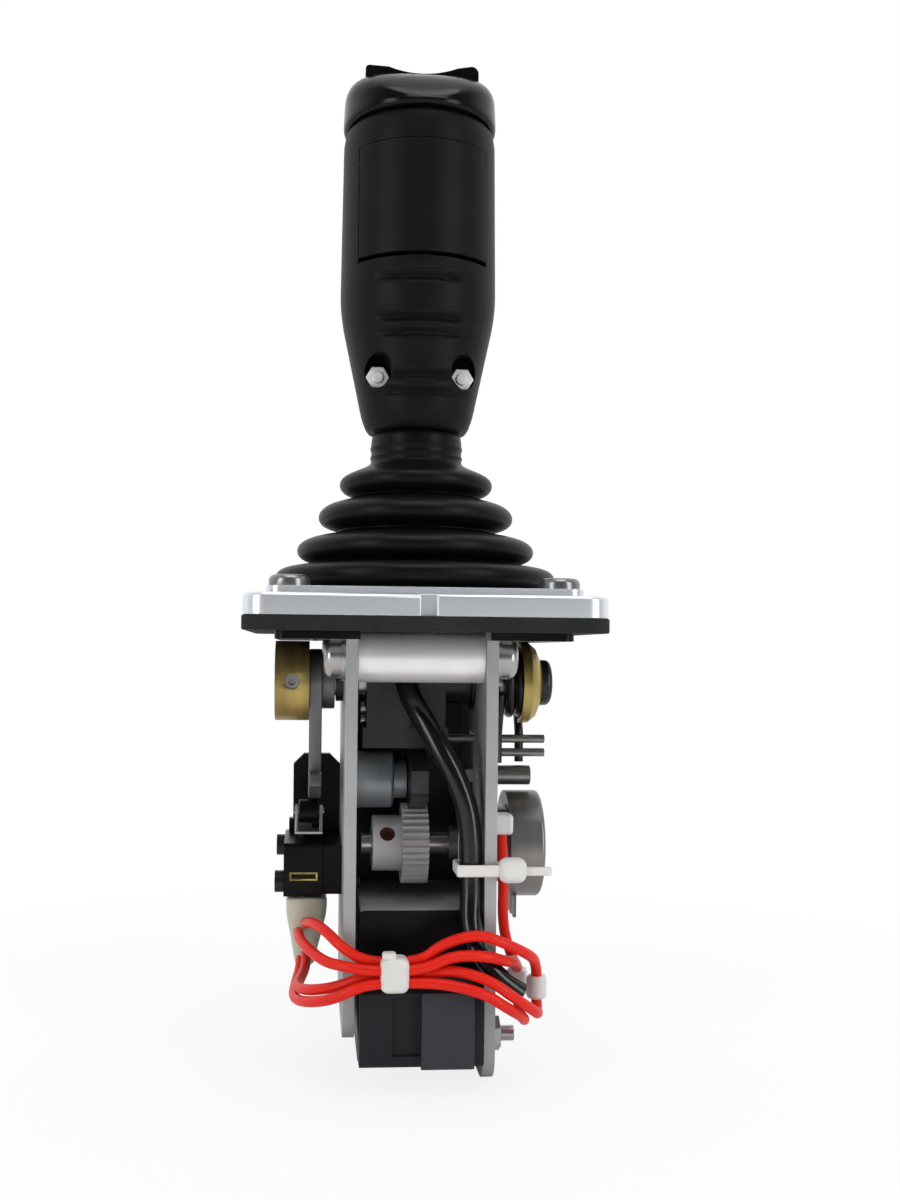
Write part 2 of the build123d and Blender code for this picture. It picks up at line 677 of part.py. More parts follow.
def shaft_screw():
    screw = pan_head_z(6.2, 2.9, DISH_X1) + rod_z(SHAFT_RIGHT - 11, DISH_X1, 2.5)
    screw -= extrude(Pos(0, 0, DISH_X1 + 1.4) * RegularPolygon(2.3, 6), 2)
    return Pos(0, 0, PIVOT_Z) * Rot(0, 90, 0) * screw


def spring_leg(side, x):
    """One leg: from the coil, in towards the pins, then straight down past them."""
    inner_y = SPRING_PIN_R + WIRE_R + 0.05
    reach = math.hypot(inner_y, LEG_BEND)
    turn = math.acos(COIL_R / reach) + math.atan2(inner_y, LEG_BEND)
    start = (x, side * COIL_R * math.sin(turn), PIVOT_Z - COIL_R * math.cos(turn))
    bend = (x, side * inner_y, PIVOT_Z - LEG_BEND)
    end = (x, side * inner_y, PIVOT_Z - LEG_END)
    path = FilletPolyline(start, bend, end, radius=2.5)
    leg = sweep(Plane(origin=start, z_dir=path % 0) * Circle(WIRE_R), path=path)
    return leg + Pos(*start) * Sphere(WIRE_R), turn


def centring_spring():
    """Torsion spring round the shaft. Its legs hold the fixed and the moving pin between them."""
    left, turn = spring_leg(-1, COIL_X0)
    right, turn = spring_leg(1, COIL_X1)
    turns = 2 + 2 * turn / (2 * math.pi)
    length = COIL_X1 - COIL_X0
    helix = Helix(pitch=length / turns, height=length, radius=COIL_R)
    coil = sweep(Plane(origin=helix @ 0, z_dir=helix % 0) * Circle(WIRE_R), path=helix, is_frenet=True)
    start_angle = math.degrees(turn)
    place = Pos(COIL_X0, 0, PIVOT_Z) * Rot(0, 90, 0)
    coil = place * Rot(0, 0, -start_angle) * coil
    return coil, left, right


def spring_anchor_pin():
    return rod_x(PLATE_IN, PIN_END, SPRING_PIN_R, 0, ANCHOR_PIN_Z)


def standoff_post():
    post = rod_x(SIDE_OUT, POST_END, POST_R, 0, POST_Z) + rod_x(PLATE_IN - 2.2, SIDE_OUT, 2.0, 0, POST_Z)
    nut = extrude(RegularPolygon(3.4, 6), 2.2) - rod_z(0, 2.2, 2.0 + FIT)
    nut = Pos(PLATE_IN - 2.2, 0, POST_Z) * Rot(0, 90, 0) * nut
    return group(post, nut)


def spring_pin():
    return rod_x(BAR_LEFT, PIN_END, SPRING_PIN_R, 0, SPRING_PIN_Z)


def friction_barrel():
    x0 = -PLATE_IN
    barrel = rod_x(x0, BARREL_END, BARREL_R, 0, BARREL_Z)
    barrel = chamfer(barrel.edges().filter_by(GeomType.CIRCLE), 0.6)
    barrel += rod_x(-SIDE_OUT, x0, 3.0 - FIT, 0, BARREL_Z)
    pad = rod_x(BARREL_END, SECTOR_X0 - GAP, PAD_R, 0, BARREL_Z)
    return group(barrel, pad)


def grip_body(extra=0.0):
    """Outer form of the grip, grown sideways by extra."""
    rings = []
    for z, dx, dy in GRIP_SECTIONS:
        ring = Ellipse(GRIP_HALF_X + dx + extra, GRIP_HALF_Y + dy + extra)
        rings.append(Pos(0, 0, z) * ring)
    return loft(rings, ruled=True)


def trigger_window():
    return block(-WINDOW_HALF_X, WINDOW_HALF_X, -30, WINDOW_BACK, WINDOW_BOTTOM, WINDOW_TOP)


def grip_halves():
    """Front and rear shells, parted on the plane through the lever."""
    body = grip_body()
    skin = body - grip_body(-GROOVE_D)
    for z in GROOVE_LEVELS:
        band = block(-GROOVE_HALF_X, GROOVE_HALF_X, -30, 30, z - GROOVE_W / 2, z + GROOVE_W / 2)
        body -= skin & band
    body -= rod_z(GRIP_BOTTOM, GRIP_CAVITY_BOTTOM, TUBE_R + RUN)
    body -= rod_z(GRIP_CAVITY_BOTTOM, GRIP_TOP, GRIP_CAVITY_R)
    for s in (-1, 1):
        body -= rod_y(-30, NUT_SEAT_Y, POCKET_R, s * NUT_X, NUT_Z)
        body -= rod_y(NUT_SEAT_Y, 9.5, GRIP_SCREW_R + FIT, s * NUT_X, NUT_Z)
        body -= rod_y(9.5, 30, GRIP_SCREW_HEAD_R + 0.4, s * NUT_X, NUT_Z)
    reach = 2 * GRIP_HALF_Y
    front = body & block(-reach, reach, -reach, 0, GRIP_BOTTOM, GRIP_TOP)
    rear = body & block(-reach, reach, 0, reach, GRIP_BOTTOM, GRIP_TOP)
    front -= trigger_window()
    front -= rod_x(-18.4, 18.4, PIN_R + FIT, TRIGGER_PIN_Y, TRIGGER_PIN_Z)
    return front, rear


def grip_nuts():
    nut = extrude(RegularPolygon(NUT_FLATS / 2, 6, major_radius=False), NUT_T) - rod_z(0, NUT_T, GRIP_SCREW_R + FIT)
    place = Rot(90, 0, 0) * nut
    return group(*[Pos(s * NUT_X, NUT_SEAT_Y, NUT_Z) * place for s in (-1, 1)])


def grip_screws():
    solids = []
    for s in (-1, 1):
        shank = rod_y(NUT_SEAT_Y - NUT_T - 0.6, 9.5, GRIP_SCREW_R, s * NUT_X, NUT_Z)
        head = rod_y(9.5, 12.0, GRIP_SCREW_HEAD_R, s * NUT_X, NUT_Z)
        socket = rod_y(10.6, 12.0, 1.2, s * NUT_X, NUT_Z)
        solids.append(shank + head - socket)
    return group(*solids)


def trigger():
    """Curved enable trigger on a pin near its top."""
    face = grip_body(TRIGGER_PROUD) - grip_body(TRIGGER_PROUD - TRIGGER_WALL)
    half = WINDOW_HALF_X - 0.4
    top = WINDOW_TOP - 0.4
    shell = face & block(-half, half, -30, TRIGGER_PIN_Y - 1.5, TRIGGER_BOTTOM, top)
    for s in (-1, 1):
        x0, x1 = sorted((s * half, s * (half - 2.6)))
        lug = block(x0, x1, -15.0, TRIGGER_PIN_Y + 2.4, TRIGGER_PIN_Z - 4.5, top)
        shell += lug & grip_body(-0.8)
    return shell - rod_x(-18, 18, PIN_R + RUN, TRIGGER_PIN_Y, TRIGGER_PIN_Z)


def grip_pins():
    """Pins of the trigger and the rocker, held in the grip and the cap."""
    trigger_pin = rod_x(-18.3, 18.3, PIN_R, TRIGGER_PIN_Y, TRIGGER_PIN_Z)
    rocker_pin = rod_y(-11, 11, PIN_R, 0, ROCKER_PIN_Z)
    return group(trigger_pin, rocker_pin)


def grip_switches():
    """Switch behind the trigger and the two-way switch under the rocker."""
    button = block(-5, 5, -14, -TUBE_R - FIT, 101, 111)
    button += rod_y(-17.0, -14, 2.0, 0, 106)
    two_way = block(-11, 11, -9.6, 9.6, CAP_CEILING - 13, CAP_CEILING)
    for x in (-7, 7):
        two_way += rod_z(CAP_CEILING, CAP_CEILING + 0.7, 1.6, x)
    return group(button, two_way)


def top_cap():
    rings = [Pos(0, 0, z) * Ellipse(CAP_HALF_X + d, CAP_HALF_Y + d) for z, d in CAP_SECTIONS]
    crown = CAP_CROWN + [(-y, z) for y, z in reversed(CAP_CROWN[:-1])]
    cap = loft(rings, ruled=True) & face_yz(crown, -CAP_HALF_X - 1, CAP_HALF_X + 1)
    cap -= rod_z(GRIP_TOP, CAP_CEILING, GRIP_CAVITY_R)
    slot_y = ROCKER_HALF_Y + GAP
    cap -= block(-ROCKER_SLOT_X, ROCKER_SLOT_X, -slot_y, slot_y, CAP_CEILING, CAP_TOP)
    return cap - rod_y(-11, 11, PIN_R + FIT, 0, ROCKER_PIN_Z)


def rocker():
    """Saddle-shaped two-way button that tips about a pin along Y."""
    x = ROCKER_HALF_X
    top = ROCKER_TOP
    low = ROCKER_PIN_Z + 1.0
    outline = [
        Line((-x, low), (-x, top - 1.7)),
        ThreePointArc((-x, top - 1.7), (-x + 0.4, top - 0.9), (-x + 1.4, top - 0.7)),
        Line((-x + 1.4, top - 0.7), (-9.0, top - 0.9)),
        ThreePointArc((-9.0, top - 0.9), (0.5, top - 2.4), (9.5, top - 0.6)),
        Line((9.5, top - 0.6), (x - 2.0, top)),
        ThreePointArc((x - 2.0, top), (x - 0.6, top - 0.5), (x, top - 1.9)),
        Line((x, top - 1.9), (x, low)),
        ThreePointArc((x, low), (0, low - 3.2), (-x, low)),
    ]
    face = Plane.XZ * make_face(outline)
    body = Pos(0, ROCKER_HALF_Y, 0) * extrude(face, 2 * ROCKER_HALF_Y)
    return body - rod_y(-ROCKER_HALF_Y, ROCKER_HALF_Y, PIN_R + RUN, 0, ROCKER_PIN_Z)


def pot_body():
    can = rod_x(POT_X0, POT_X1, POT_R, 0, POT_Z)
    can = fillet(can.edges().filter_by(GeomType.CIRCLE).sort_by(Axis.X)[-1], 1.0)
    can += rod_x(SIDE_OUT, POT_X0, POT_SHOULDER_R, 0, POT_Z)
    can += rod_x(PLATE_IN - POT_NUT_T - POT_WASHER_T - 2.2, SIDE_OUT, POT_BUSHING_R, 0, POT_Z)
    for y in (-5, 0, 5):
        can += block(POT_X0 + 2, POT_X0 + 2.8, y - 1.2, y + 1.2, POT_Z - POT_R - 5, POT_Z - POT_R + 1)
    return can - rod_x(PLATE_IN - 10, POT_X0 + 4, POT_SHAFT_R + RUN, 0, POT_Z)


def pot_nut():
    washer_in = PLATE_IN - POT_WASHER_T
    washer = rod_x(washer_in, PLATE_IN, POT_WASHER_R, 0, POT_Z)
    washer -= rod_x(washer_in, PLATE_IN, POT_BUSHING_R + FIT, 0, POT_Z)
    nut = extrude(RegularPolygon(POT_NUT_FLATS / 2, 6, major_radius=False), POT_NUT_T)
    nut -= rod_z(0, POT_NUT_T, POT_BUSHING_R + FIT)
    return group(washer, Pos(washer_in - POT_NUT_T, 0, POT_Z) * Rot(0, 90, 0) * nut)


def pot_shaft():
    return rod_x(-14.0, POT_X0 + 3.5, POT_SHAFT_R, 0, POT_Z)


def switch_body():
    body = block(SWITCH_X0, SWITCH_X1, SWITCH_Y0, SWITCH_Y1, SWITCH_BOTTOM, SWITCH_TOP)
    body = fillet(body.edges().filter_by(Axis.X), 1.0)
    for x0, x1 in ((-33.6, -32.0), (-27.0, -25.4)):
        body += block(x0, x1, HINGE_Y - 2, HINGE_Y + 2, SWITCH_TOP - 0.5, HINGE_Z + 1.6)
    body -= rod_x(-33.6, -25.4, HINGE_R + RUN, HINGE_Y, HINGE_Z)
    for y, z in SWITCH_HOLE_YZ:
        body -= rod_x(SWITCH_X0, SWITCH_X1, SWITCH_SCREW_R + FIT, y, z)
    x = (ROLLER_X0 + ROLLER_X1) / 2 - 1.4
    return body - rod_z(SWITCH_TOP - PLUNGER_DEPTH - 0.8, SWITCH_TOP, PLUNGER_R + RUN, x, PLUNGER_Y)


def switch_plunger():
    x = (ROLLER_X0 + ROLLER_X1) / 2 - 1.4
    return rod_z(SWITCH_TOP - PLUNGER_DEPTH, HINGE_Z - 0.55, PLUNGER_R, x, PLUNGER_Y)


def switch_lever():
    """Spring plate with a fork that carries the roller."""
    x0 = ROLLER_X0 - FORK_AIR - FORK_T
    x1 = ROLLER_X1 + FORK_AIR + FORK_T
    low = HINGE_Z - 0.3
    high = HINGE_Z + 0.3
    plate = block(-31.8, -27.2, 4.0, HINGE_Y, low, high) + block(x0, x1, -2.5, 5.0, low, high)
    plate += rod_x(-33.4, -25.6, HINGE_R, HINGE_Y, HINGE_Z)
    for a, b in ((x0, x0 + FORK_T), (x1 - FORK_T, x1)):
        plate += face_yz([(-2.5, low), (3.5, low), (2.0, ROLLER_Z + 1.8), (-2.0, ROLLER_Z + 1.8)], a, b)
    return plate + rod_x(x0 - 0.4, x1 + 0.4, ROLLER_PIN_R, 0, ROLLER_Z)


def switch_roller():
    roller = rod_x(ROLLER_X0, ROLLER_X1, ROLLER_R, 0, ROLLER_Z)
    roller = chamfer(roller.edges().filter_by(GeomType.CIRCLE), 0.3)
    return roller - rod_x(ROLLER_X0, ROLLER_X1, ROLLER_PIN_R + RUN, 0, ROLLER_Z)


def switch_terminals():
    x = (SWITCH_X0 + SWITCH_X1) / 2
    blades = []
    for y in (-3.0, 6.5, 15.0):
        blades.append(block(x - 0.4, x + 0.4, y - 2.2, y + 2.2, SWITCH_BOTTOM - 7.5, SWITCH_BOTTOM))
    return group(*blades)


def terminal_boots():
    """Soft sleeves pushed over the switch's blades."""
    x = (SWITCH_X0 + SWITCH_X1) / 2
    solids = []
    for y0, y1, low in ((-7.6, 1.6, -84.0), (2.4, 19.0, -87.0)):
        top = SWITCH_BOTTOM - 0.1
        sleeve = block(x - 4.9, x + 7.0, y0, y1, low, top)
        sleeve = fillet(sleeve.edges().filter_by(Axis.Z), 2.8)
        sleeve -= block(x - 1.0, x + 1.0, y0 + 1.6, y1 - 1.4, SWITCH_BOTTOM - 8.5, top)
        solids.append(sleeve)
    return group(*solids)


def switch_screws():
    solids = []
    for y, z in SWITCH_HOLE_YZ:
        shank = rod_x(SWITCH_X0, -PLATE_IN + 2.0, SWITCH_SCREW_R, y, z)
        head = rod_x(SWITCH_X0 - 2.4, SWITCH_X0, 2.9, y, z)
        slot = block(SWITCH_X0 - 2.4, SWITCH_X0 - 1.4, y - 0.4, y + 0.4, z - 3, z + 3)
        solids.append(shank + head - slot)
    return group(*solids)


def switch_bracket():
    plate = block(SWITCH_X1, -SIDE_OUT, SWITCH_Y0 + 1, SWITCH_Y1 - 1, SWITCH_BOTTOM + 0.6, SWITCH_TOP - 0.8)
    for y, z in SWITCH_HOLE_YZ:
        plate -= rod_x(SWITCH_X1, -SIDE_OUT, SWITCH_SCREW_R + FIT, y, z)
    plate += block(SWITCH_X1, -SIDE_OUT, SWITCH_Y1 - 1, TOWER_Y1, SWITCH_BOTTOM + 0.6, SWITCH_TOP - 3)
    tower = block(TOWER_X0, -SIDE_OUT, TOWER_Y0, TOWER_Y1, SWITCH_BOTTOM + 0.6, TOWER_TOP)
    return plate + chamfer(tower.edges().filter_by(Axis.Y).group_by(Axis.Z)[-1], 3.0)


def back_bracket():
    """Rear wall between the side plates, with a side bent along the left one."""
    inside = SIDE_HALF_Y - WALL_T
    wall = block(-PLATE_IN, PLATE_IN, inside, SIDE_HALF_Y, WALL_BOTTOM, WALL_TOP)
    fold_x = -PLATE_IN + WALL_T
    return wall + block(-PLATE_IN, fold_x, SIDE_HALF_Y - FOLD_W, inside, WALL_BOTTOM, WALL_BOTTOM + FOLD_H)


def module_case():
    case = block(CASE_LEFT, PLATE_IN, CASE_FRONT, CASE_BACK, CASE_BOTTOM, CASE_TOP)
    case = fillet(case.edges().filter_by(Axis.Y), 1.5)
    return case - rod_x(4.0, PLATE_IN, MODULE_SCREW_R + FIT, MODULE_SCREW_Y, MODULE_SCREW_Z)


def module_cover():
    """Shell that stands forward of the case, with a sloped top and a raised pad."""
    front = COVER_FRONT
    profile = [(CASE_FRONT, COVER_TOP), (front + 3.0, COVER_TOP), (front, COVER_TOP - 3.5),
               (front, COVER_BOTTOM + 1.0), (front + 1.0, COVER_BOTTOM), (CASE_FRONT, COVER_BOTTOM)]
    cover = face_yz(profile, CASE_LEFT, PLATE_IN - 0.4)
    recess_top = COVER_TOP - 4.5
    cover -= block(-7.0, 0.0, front, front + 1.2, COVER_BOTTOM + 3.0, recess_top)
    return cover + block(0.0, 13.2, front - PAD_RAISE, front, COVER_BOTTOM, recess_top + 1.5)


def module_screw():
    screw = rod_x(6.0, SIDE_OUT + 7.0, MODULE_SCREW_R, MODULE_SCREW_Y, MODULE_SCREW_Z)
    nut = extrude(RegularPolygon(MODULE_NUT_R, 6), 3.2) - rod_z(0, 3.2, MODULE_SCREW_R + FIT)
    return group(screw, Pos(SIDE_OUT, MODULE_SCREW_Y, MODULE_SCREW_Z) * Rot(0, 90, 0) * nut)


def tube_radii(points):
    """Largest tangent arc at each inner corner of a route."""
    radii = []
    for a, b, c in zip(points, points[1:], points[2:]):
        run = min((Vector(*b) - Vector(*a)).length, (Vector(*c) - Vector(*b)).length)
        turn = math.radians((Vector(*b) - Vector(*a)).get_angle(Vector(*c) - Vector(*b)))
        radii.append(0.45 * run / math.tan(turn / 2))
    return radii


def routed(name, points, radius):
    """Round tube along a route of straight runs and tangent arcs."""
    radii = tube_radii(points)
    path = FilletPolyline(*points, radius=radii)
    tube = sweep(Plane(origin=points[0], z_dir=path % 0) * Circle(radius), path=path)
    share = tube.volume / (math.pi * radius ** 2 * path.length)
    print(name, "length", round(path.length, 1), "least radius", round(min(radii), 1), "volume share", round(share, 4))
    return tube


HANDLE_CABLE_ROUTE = [(0, -0.8, 27.0), (0, -1.0, 20.0), (-0.4, -4.4, 10.5), (-2.2, -9.6, 0.5),
                      (-3.2, -10.5, -7.0), (-3.0, -13.4, -14.8), (0.5, -18.8, -21.6), (5.0, -22.8, -29.2),
                      (9.8, -24.6, -38.2), (12.8, -25.1, -47.5), (13.0, -25.2, -56.0)]
LOWER_CABLE_ROUTE = [(13.0, -25.2, -56.0), (13.2, -25.3, -64.5), (12.6, -26.8, -73.0), (14.0, -30.6, -79.6),
                     (18.6, -32.4, -85.8), (24.8, -31.8, -89.8)]
RED_ROUTES = {
    "a": [(-28.6, -7.0, -77.0), (-28.4, -13.0, -76.0), (-27.0, -21.5, -73.6), (-23.6, -29.6, -74.2),
          (-19.6, -34.2, -77.4), (-13.6, -35.0, -80.9), (-0.4, -35.0, -80.9), (4.8, -35.8, -76.2),
          (13.6, -36.6, -73.6), (20.6, -35.8, -76.4), (26.6, -31.8, -79.8), (29.8, -26.2, -83.0), (30.3, -24.1, -88.0)],
    "b": [(-30.6, -7.0, -79.4), (-30.4, -13.8, -79.0), (-28.6, -23.0, -79.6), (-24.0, -32.4, -81.2),
          (-19.4, -36.6, -81.3), (-13.4, -37.7, -82.3), (0.0, -37.7, -82.3), (6.8, -38.2, -78.6),
          (15.8, -37.7, -78.9), (21.8, -33.5, -81.5), (24.4, -26.0, -82.7), (26.1, -19.4, -86.6)],
    "c": [(-28.2, 5.6, -86.5), (-28.0, 2.4, -91.4), (-28.0, -6.4, -93.2), (-27.0, -16.6, -91.4),
          (-25.0, -27.0, -88.8), (-20.2, -33.4, -86.9), (-13.2, -35.0, -83.8), (0.0, -35.0, -83.8),
          (7.4, -37.2, -82.2), (16.2, -38.4, -85.0), (22.2, -37.7, -90.3), (27.8, -33.3, -95.1),
          (30.0, -28.6, -98.2), (30.4, -24.2, -97.6), (30.3, -23.9, -92.4)],
    "d": [(-31.6, 9.4, -86.5), (-31.4, 6.6, -92.8), (-31.4, -4.0, -96.2), (-31.0, -16.0, -95.0),
          (-28.4, -27.4, -92.2), (-21.6, -36.0, -89.6), (-13.8, -37.7, -85.2), (-0.4, -37.7, -85.2),
          (6.4, -38.9, -85.5), (15.0, -39.6, -88.2), (20.8, -38.4, -92.8), (25.2, -32.6, -97.4),
          (26.4, -26.0, -100.8), (26.3, -20.0, -99.4), (26.1, -18.9, -92.8)],
    "e": [(21.8, -17.0, -51.5), (21.7, -21.2, -56.8), (21.6, -23.4, -64.2), (21.4, -23.8, -72.4),
          (22.8, -21.8, -79.4), (26.0, -18.7, -86.6)],
}


def wire_ties():
    """Tie round the red wires, and tie round the right plate and the cable."""
    z0, z1 = -87.5, -78.6
    y0, y1 = -40.1, -32.8
    x0, x1 = -10.4, -3.4
    bundle = block(x0, x1, y0, y1, z0, z1)
    bundle = fillet(bundle.edges().filter_by(Axis.X), 1.2)
    bundle -= block(x0, x1, y0 + 0.8, y1 - 0.7, z0 + 0.7, z1 - 0.7)
    bundle += block(x0 - 0.3, x1 + 0.3, y0 - 1.4, y0 + 0.1, z0 + 1.4, z1 - 0.6)
    bundle += block(x0 + 0.8, x0 + 4.4, y0 - 1.0, y0 + 0.2, z1 - 0.7, z1 + 1.4)
    low, high = -61.4, -57.8
    inner = block(9.9, SIDE_OUT + 0.05, -29.0, -20.6, low, high)
    plate_tie = block(8.9, SIDE_OUT + 1.05, -30.0, -19.6, low, high) - inner
    head = block(SIDE_OUT + 0.05, SIDE_OUT + 7.4, -31.4, -26.0, low - 1.4, high + 1.6)
    head = fillet(head.edges().filter_by(Axis.X), 1.4)
    tail = block(SIDE_OUT + 7.4, SIDE_OUT + 14.0, -29.4, -28.2, low, high)
    return group(bundle, plate_tie + head + tail)


def wire_connectors():
    """Nylon housing on the plate and the pale sleeves where the wires are joined."""
    housing = block(SIDE_OUT, SIDE_OUT + 5.4, -20.4, -14.8, -52.0, -46.6)
    first = rod_z(-93.0, -86.9, SPLICE_R, 30.3, -24.0)
    second = rod_z(-93.4, -86.2, SPLICE_R, 26.1, -18.9)
    return group(housing, first, second)


def main():
    os.makedirs("parts", exist_ok=True)
    save("mounting_plate", mounting_plate())
    save("gasket", gasket())
    save("spacer_frame", spacer_frame())
    save("boot_retainer", boot_retainer())
    save("retainer_screws", retainer_screws())
    save("boot", boot())
    save("left_side_plate", left_side_plate())
    save("right_side_plate", right_side_plate())
    save("front_spacer", spacer(-SPACER_Y))
    save("rear_spacer", spacer(SPACER_Y))
    save("spacer_screws", spacer_screws())
    save("shaft_bushes", shaft_bushes())
    save("pivot_shaft", pivot_shaft())
    save("hub_block", hub_block())
    save("cross_bar", cross_bar())
    save("sector_gear", sector_gear())
    save("sector_screws", sector_screws())
    save("handle_tube", handle_tube())
    save("shaft_sleeve", shaft_sleeve())
    save("left_collar", left_collar())
    save("collar_screw", collar_screw())
    save("cam_arm", cam_arm())
    save("dished_washer", dished_washer())
    save("shaft_screw", shaft_screw())
    coil, left_leg, right_leg = centring_spring()
    save("centring_spring", coil + left_leg + right_leg)
    save("spring_pin", spring_pin())
    save("spring_anchor_pin", spring_anchor_pin())
    save("standoff_post", standoff_post())
    save("friction_barrel", friction_barrel())
    front, rear = grip_halves()
    save("grip_front", front)
    save("grip_rear", rear)
    save("grip_nuts", grip_nuts())
    save("grip_screws", grip_screws())
    save("grip_pins", grip_pins())
    save("grip_switches", grip_switches())
    save("trigger", trigger())
    save("top_cap", top_cap())
    save("rocker", rocker())
    save("pot_body", pot_body())
    save("pot_nut", pot_nut())
    save("pot_shaft", pot_shaft())
    save("pinion", pinion())
    save("pinion_screw", pinion_screw())
    save("switch_body", switch_body())
    save("switch_plunger", switch_plunger())
    save("switch_lever", switch_lever())
    save("switch_roller", switch_roller())
    save("switch_terminals", switch_terminals())
    save("terminal_boots", terminal_boots())
    save("switch_screws", switch_screws())
    save("switch_bracket", switch_bracket())
    save("back_bracket", back_bracket())
    save("module_case", module_case())
    save("module_cover", module_cover())
    save("module_screw", module_screw())
    save("handle_cable", routed("handle_cable", HANDLE_CABLE_ROUTE, CABLE_R))
    save("lower_cable", routed("lower_cable", LOWER_CABLE_ROUTE, CABLE_R))
    reds = [routed("red_wire_" + k, route, RED_R) for k, route in RED_ROUTES.items()]
    save("red_wires", group(*reds))
    save("wire_ties", wire_ties())
    save("wire_connectors", wire_connectors())


if __name__ == "__main__":
    main()
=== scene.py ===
import json
import math

import bmesh
import bpy
from bpy.props import FloatProperty, FloatVectorProperty, IntProperty, PointerProperty
from mathutils import Euler, Matrix, Vector


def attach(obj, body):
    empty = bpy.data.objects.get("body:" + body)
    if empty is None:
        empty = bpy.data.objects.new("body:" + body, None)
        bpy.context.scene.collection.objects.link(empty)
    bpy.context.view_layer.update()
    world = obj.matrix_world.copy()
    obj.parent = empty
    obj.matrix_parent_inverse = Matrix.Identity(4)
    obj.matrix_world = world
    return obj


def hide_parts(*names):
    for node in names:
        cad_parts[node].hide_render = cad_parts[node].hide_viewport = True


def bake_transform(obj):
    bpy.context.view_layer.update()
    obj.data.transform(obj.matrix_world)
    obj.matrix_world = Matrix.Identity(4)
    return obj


bl_info = {
    "name": "Panel Joystick",
    "version": (1, 0, 0),
    "blender": (4, 5, 0),
    "location": "View3D > Sidebar > Joystick",
    "description": "Dresses a panel-mounted joystick: grip, bellows, flange, gears, switch, sensor and wires",
    "category": "Object",
}

MM = 0.001
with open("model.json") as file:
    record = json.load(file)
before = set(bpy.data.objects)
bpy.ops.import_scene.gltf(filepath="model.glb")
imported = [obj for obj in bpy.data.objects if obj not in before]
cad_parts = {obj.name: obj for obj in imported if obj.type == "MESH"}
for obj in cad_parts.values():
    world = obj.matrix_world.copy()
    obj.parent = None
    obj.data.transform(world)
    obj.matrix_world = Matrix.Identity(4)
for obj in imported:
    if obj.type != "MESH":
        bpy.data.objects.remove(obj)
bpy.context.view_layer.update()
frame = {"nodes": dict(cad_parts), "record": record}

# Limits of the mesh clean-up, in metres
WELD = 0.000001
NODE_WELD = 0.000002
SHORTEST_EDGE = 0.0000005

# Angles in degrees: faces that count as one flat, edges drawn smooth, and edges that get a small round
FLAT_ANGLE = 0.8
SMOOTH_ANGLE = 35.0
EDGE_ANGLE = 32.0

# Width of the broken edges of the spacer frame and the rear wall, in millimetres
PLATE_EDGE = 0.3


class JoystickSizes(bpy.types.PropertyGroup):
    boot_wall: FloatProperty(
        name="Bellows wall", description="Thickness of the rubber", default=0.0012, unit="LENGTH")
    cable_radius: FloatProperty(
        name="Cable radius", description="Half the thickness of the black cable", default=0.0029,
        unit="LENGTH")
    wire_radius: FloatProperty(
        name="Wire radius", description="Half the thickness of a red wire", default=0.00135, unit="LENGTH")
    boot_steps: IntProperty(
        name="Bellows steps", description="Segments round the bellows", default=96, min=24)
    grip_steps: IntProperty(
        name="Grip steps", description="Segments round the grip and the cap", default=144, min=48)


def colour_property(name, words, value):
    """Colour with its name, its words and its default."""
    return FloatVectorProperty(
        name=name, description=words, subtype="COLOR", size=3, min=0, max=1, default=value)


class JoystickColours(bpy.types.PropertyGroup):
    grip: colour_property("Grip", "Matt black moulding of the grip", (0.0055, 0.0055, 0.0068))
    cap: colour_property("Cap", "Gloss black cap and rocker", (0.003, 0.003, 0.0038))
    rubber: colour_property("Rubber", "Bellows", (0.004, 0.004, 0.0046))
    foam: colour_property("Gasket", "Foam under the mounting plate", (0.017, 0.018, 0.018))
    moulding: colour_property("Moulding", "Black plastic of the switch, the case and the spacer frame",
                              (0.004, 0.004, 0.005))
    tray: colour_property("Tray", "Light top of the module's case", (0.42, 0.41, 0.40))
    slate: colour_property("Slate", "Cover of the control module", (0.010, 0.011, 0.015))
    pad: colour_property("Pad", "Raised pad on the module's cover", (0.036, 0.037, 0.047))
    zinc: colour_property("Zinc", "Plated sheet of the side plates", (0.42, 0.43, 0.44))
    # Dark zinc of the sector; on the rear wall the same dark colour is painted shade for the shaded inside of
    # the frame
    dark_zinc_and_shade: colour_property("Dark zinc", "Sector and rear wall", (0.05, 0.054, 0.06))
    flange: colour_property("Flange", "Bright mounting plate and bellows retainer", (0.76, 0.79, 0.82))
    arm: colour_property("Arm", "Cam arm", (0.15, 0.152, 0.152))
    pin: colour_property("Pin", "Spring pins, standoff and retainer screws", (0.23, 0.235, 0.24))
    steel: colour_property("Steel", "Screws and shafts", (0.42, 0.42, 0.42))
    dark_steel: colour_property("Dark steel", "Bushes, sleeve and switch screws", (0.03, 0.03, 0.032))
    bright: colour_property("Bright steel", "Nuts and screws of the grip", (0.92, 0.92, 0.92))
    turned: colour_property("Turned", "Bright spacers", (0.88, 0.88, 0.88))
    can: colour_property("Can", "Body of the position sensor", (0.24, 0.232, 0.222))
    dull: colour_property("Dull", "Hub and cross bar", (0.055, 0.06, 0.066))
    barrel: colour_property("Barrel", "Grey cylinder against the sector", (0.30, 0.33, 0.35))
    brass: colour_property("Brass", "Collar, dished washer and contact frame", (0.40, 0.30, 0.10))
    spring: colour_property("Spring", "Centring spring", (0.03, 0.03, 0.03))
    nylon: colour_property("Nylon", "Pinion, ties and connectors", (0.74, 0.73, 0.71))
    wire: colour_property("Wire", "Red insulation", (0.74, 0.014, 0.005))
    cable: colour_property("Cable", "Sheath of the black cable", (0.003, 0.003, 0.004))
    sleeve: colour_property("Sleeve", "Soft covers of the switch's blades", (0.50, 0.50, 0.40))
    seal: colour_property("Seal", "Red paint of the pinion's screw and the plunger", (0.10, 0.012, 0.014))
    tin: colour_property("Tin", "Blades of the switch", (0.62, 0.58, 0.48))


